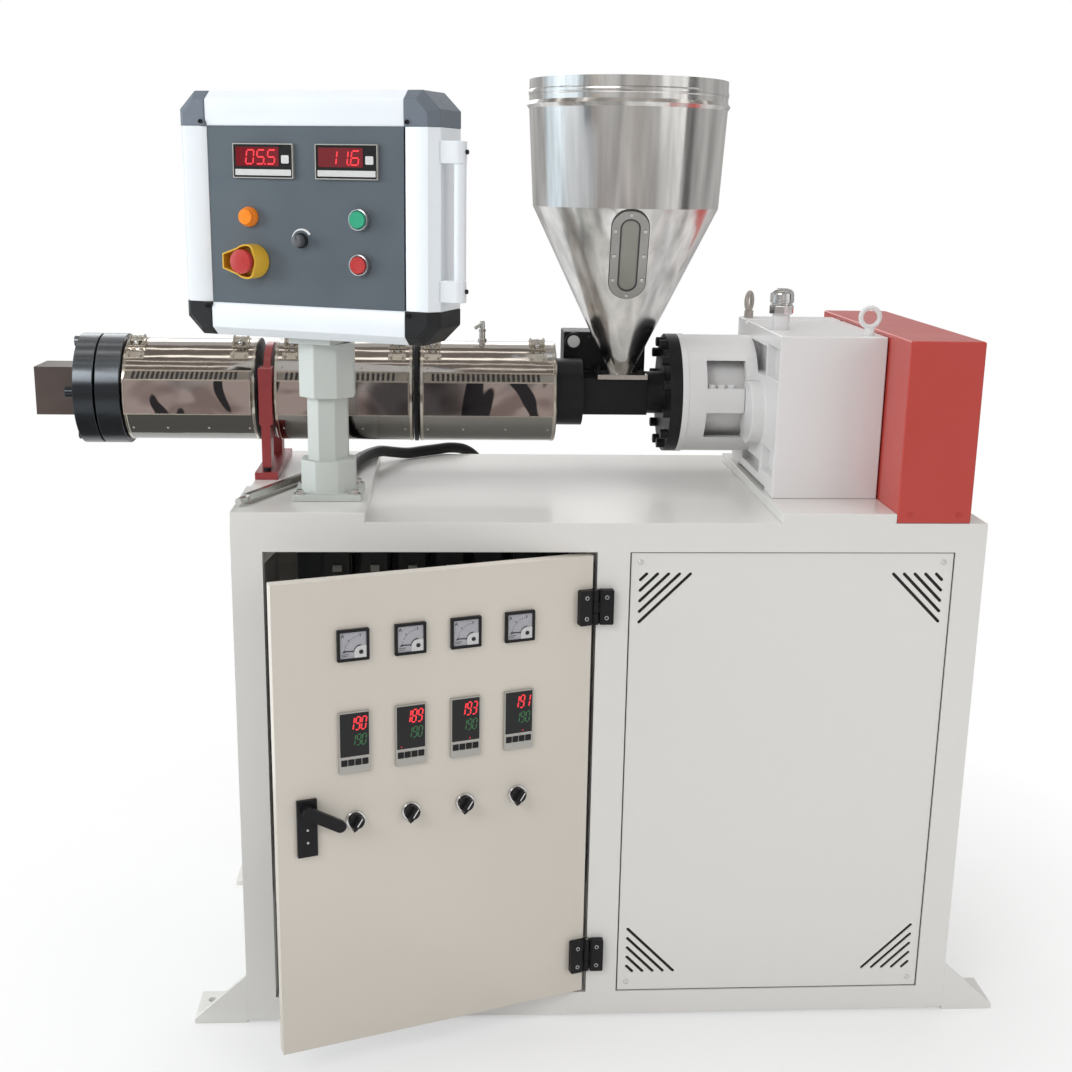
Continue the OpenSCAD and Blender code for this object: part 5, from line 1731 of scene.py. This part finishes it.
# %% Lantern core and bolts
CORE_R, CORE_BORE, BAR_Y, BAR_TOP = 74.0, 51.0, 84.0, 19.5
lo, hi = corners("lantern_housing")
make("bearing_housing", lathe([
    (CORE_BORE, lo.x + 14), (CORE_R - 2, lo.x + 14), (CORE_R, lo.x + 16), (CORE_R, hi.x - 1),
    (CORE_BORE, hi.x - 1)], along, sides=72), gear_enamel)
fasten("bearing_bolts", SOCKET, 6.5,
       [spot(lo.x + dx, y, BAR_TOP, axis, UP) for y in (-BAR_Y, BAR_Y) for dx in (40, 56, 72)],
       gear_enamel)
flange_r = corners("drive_flange")[1].z - AXIS_Z
bm = bmesh.new()
ring(bm, lo.x - 11, lo.x, flange_r - 4, flange_r + 0.35)
make("flange_overspray", bm, gear_enamel)
print("lantern core ready")

# %% [markdown]
# ## The hopper's bead
# Two rolled ridges stiffen the hopper just under its rim. The CAD model holds the lower
# one, and the smaller one above it is a turned ring on the same flared wall.

# %% Upper bead
BEAD_DOWN, RIDGE_GAP, BEAD_OUT, BEAD_HALF, FLARE = 40.0, 19.0, 4.2, 7.5, 7.0
lo, hi = corners("hopper_shell")
wall_r = (hi.x - lo.x) / 2 - FLARE
profile = [(wall_r + BEAD_OUT * u, BEAD_HALF * v) for u, v in arc(1, -90, 90, 10)]
profile = [(wall_r - 1.5, -BEAD_HALF)] + profile + [(wall_r - 1.5, BEAD_HALF)]
make("hopper_upper_bead",
     lathe(profile, shift(HOPPER_X, HOPPER_Y, hi.z - BEAD_DOWN + RIDGE_GAP), sides=120),
     hopper_steel, smooth=60)
print("bead radius", round(wall_r, 1))

# %% [markdown]
# ## Screws on the covers
# The guard, the post's foot, the barrel's support and the junction box are fastened with
# ordinary bolts. Their places come from the boxes of the parts they hold.

# %% Bolts of the housings
lo, hi = corners("belt_guard")
fasten("guard_screws", PAN, 4.2,
       [spot((lo.x + hi.x) / 2 + dx, lo.y, lo.z + 14) for dx in (-38, 38)]
       + [spot(hi.x, lo.y + part * (hi.y - lo.y), lo.z + 14, out=(1, 0, 0))
          for part in (0.1, 0.5, 0.9)], red_paint)
POST_FOOT, BOLT_IN, WASHER = 10.0, 11.0, 1.6
lo, hi = corners("control_post")
post_bolts = [(x, y) for x in (lo.x + BOLT_IN, hi.x - BOLT_IN)
              for y in (lo.y + BOLT_IN, hi.y - BOLT_IN)]
bm = bmesh.new()
for x, y in post_bolts:
    turned(bm, [(0, 0), (9.5, 0), (9.5, WASHER), (0, WASHER)], shift(x, y, lo.z + POST_FOOT),
           sides=28)
make("post_washers", bm, bright_steel)
fasten("post_bolts", HEX, 6.4,
       [spot(x, y, lo.z + POST_FOOT + WASHER, out=UP, spin=0.3) for x, y in post_bolts],
       bright_steel)
lo, hi = corners("barrel_support")
fasten("support_bolts", SOCKET, 6.5,
       [spot((lo.x + hi.x) / 2, y, lo.z + 12, out=UP) for y in (lo.y + 14, hi.y - 14)],
       black_metal)
JUNCTION_FRONT = 126.0
lo, hi = corners("junction_box")
cap = facing(IDENTITY, lo.x + 17, JUNCTION_FRONT, hi.z - 16)
make("junction_cap", lathe([(0, -2), (15, -2), (15, 7), (14, 8), (11.2, 8), (11.2, 7),
                            (0, 7)], cap), black_plastic)
make("junction_disc", lathe([(0, 6), (10.6, 6), (10.6, 7.8), (0, 8.2)], cap),
     white_plastic)
fasten("junction_screws", PAN, 2.6,
       [spot(x, JUNCTION_FRONT - 0.1, z) for x in (lo.x + 44, hi.x - 8)
        for z in (hi.z - 8, hi.z - 62)], dark_steel)
print("housing bolts ready, junction box from", [round(part, 2) for part in lo])

# %% [markdown]
# ## Inside the cabinet
# The open door shows contactors and terminal rows on the mounting plate. Each
# contactor gets its coil cap and its terminal screws, and slotted trunking runs between
# the rows. The screws are instances, since there are nearly a hundred.

# %% Switchgear
contactor_grey = surface("contactor_grey", (0.028, 0.029, 0.032), 0.4, spread=0.15, patch=14)
TRUNK_WIDE, TRUNK_PITCH, TRUNK_TOOTH = 100, 12, 6
contactors, trunks = ([(lo, hi) for lo, hi in islands("switchgear")
                       if (hi.x - lo.x > TRUNK_WIDE) == wide] for wide in (False, True))
bodies, caps, trunking, terminals = bmesh.new(), bmesh.new(), bmesh.new(), []
for lo, hi in contactors:
    block(bodies, (lo.x + 0.5, lo.y + 16, lo.z), (hi.x - 0.5, hi.y, hi.z))
    block(bodies, (lo.x + 4, lo.y + 6, lo.z + 16), (hi.x - 4, lo.y + 17, hi.z - 16))
    block(caps, (lo.x + 18, lo.y + 2, lo.z + 30), (hi.x - 18, lo.y + 7, hi.z - 42))
    for z, tag_z in ((lo.z + 7, lo.z + 16), (hi.z - 7, hi.z - 16)):
        for k in range(4):
            x = lo.x + 8 + 12 * k
            block(caps, (x - 3, lo.y + 13, tag_z - 1.5), (x + 3, lo.y + 16.6, tag_z + 1.5))
            block(bodies, (x - 4.6, lo.y + 12, z - 5), (x - 3.6, lo.y + 17, z + 5))
            terminals.append(spot(x, lo.y + 16, z, spin=0.4 * k))
for lo, hi in trunks:
    block(trunking, (lo.x, hi.y - 3, lo.z), (hi.x, hi.y, hi.z))
    block(trunking, (lo.x, lo.y, lo.z), (hi.x, lo.y + 2, hi.z))
    x = lo.x
    while x < hi.x - TRUNK_TOOTH:
        for z in (lo.z, hi.z - 1.6):
            block(trunking, (x, lo.y + 1, z), (x + TRUNK_TOOTH, hi.y - 1, z + 1.6))
        x += TRUNK_PITCH
make("contactors", bodies, contactor_grey, bevel=0.7,
     replaces="switchgear")
make("contactor_caps", caps, switch_plastic, bevel=0.6)
make("cable_trunking", trunking, switch_plastic)
fasten("terminal_screws", PAN, 3.0, terminals, brass_steel)
print("contactors", len(contactors), "terminal screws", len(terminals))

# %% [markdown]
# ## Corner gussets and ground seams
# Small gussets stiffen the door opening's upper corners. The top and the seats are
# welded to the frame at the front and ground flush, so a thin painted fillet closes
# each joint that the separate CAD plates leave.

# %% Gussets and fillets
opening_z = max(lo.z for lo, hi in islands("front_rails"))
left, middle, *_ = islands("front_stiles")
y = left[1].y
bm = bmesh.new()
for x, side in ((left[1].x, 1), (middle[0].x, -1)):
    prism(bm, [(x - 2 * side, opening_z + 2), (x + 26 * side, opening_z + 2),
               (x - 2 * side, opening_z - 26)], y - 1, y + 2)
make("corner_gussets", bm, gusset_grey)
lo, hi = corners("tabletop")
seams = [(lo.x + 1, hi.x - 1, lo.y, lo.z)]
seams += [(lo.x + 2, hi.x - 2, lo.y, lo.z) for lo, hi in islands("machined_seats")]
make("ground_seams", blocks([((x0, y - 0.07, z - 2.5), (x1, y + 0.5, z + 2.5))
                             for x0, x1, y, z in seams]), cabinet_enamel)
print("opening's top at", round(opening_z, 1))
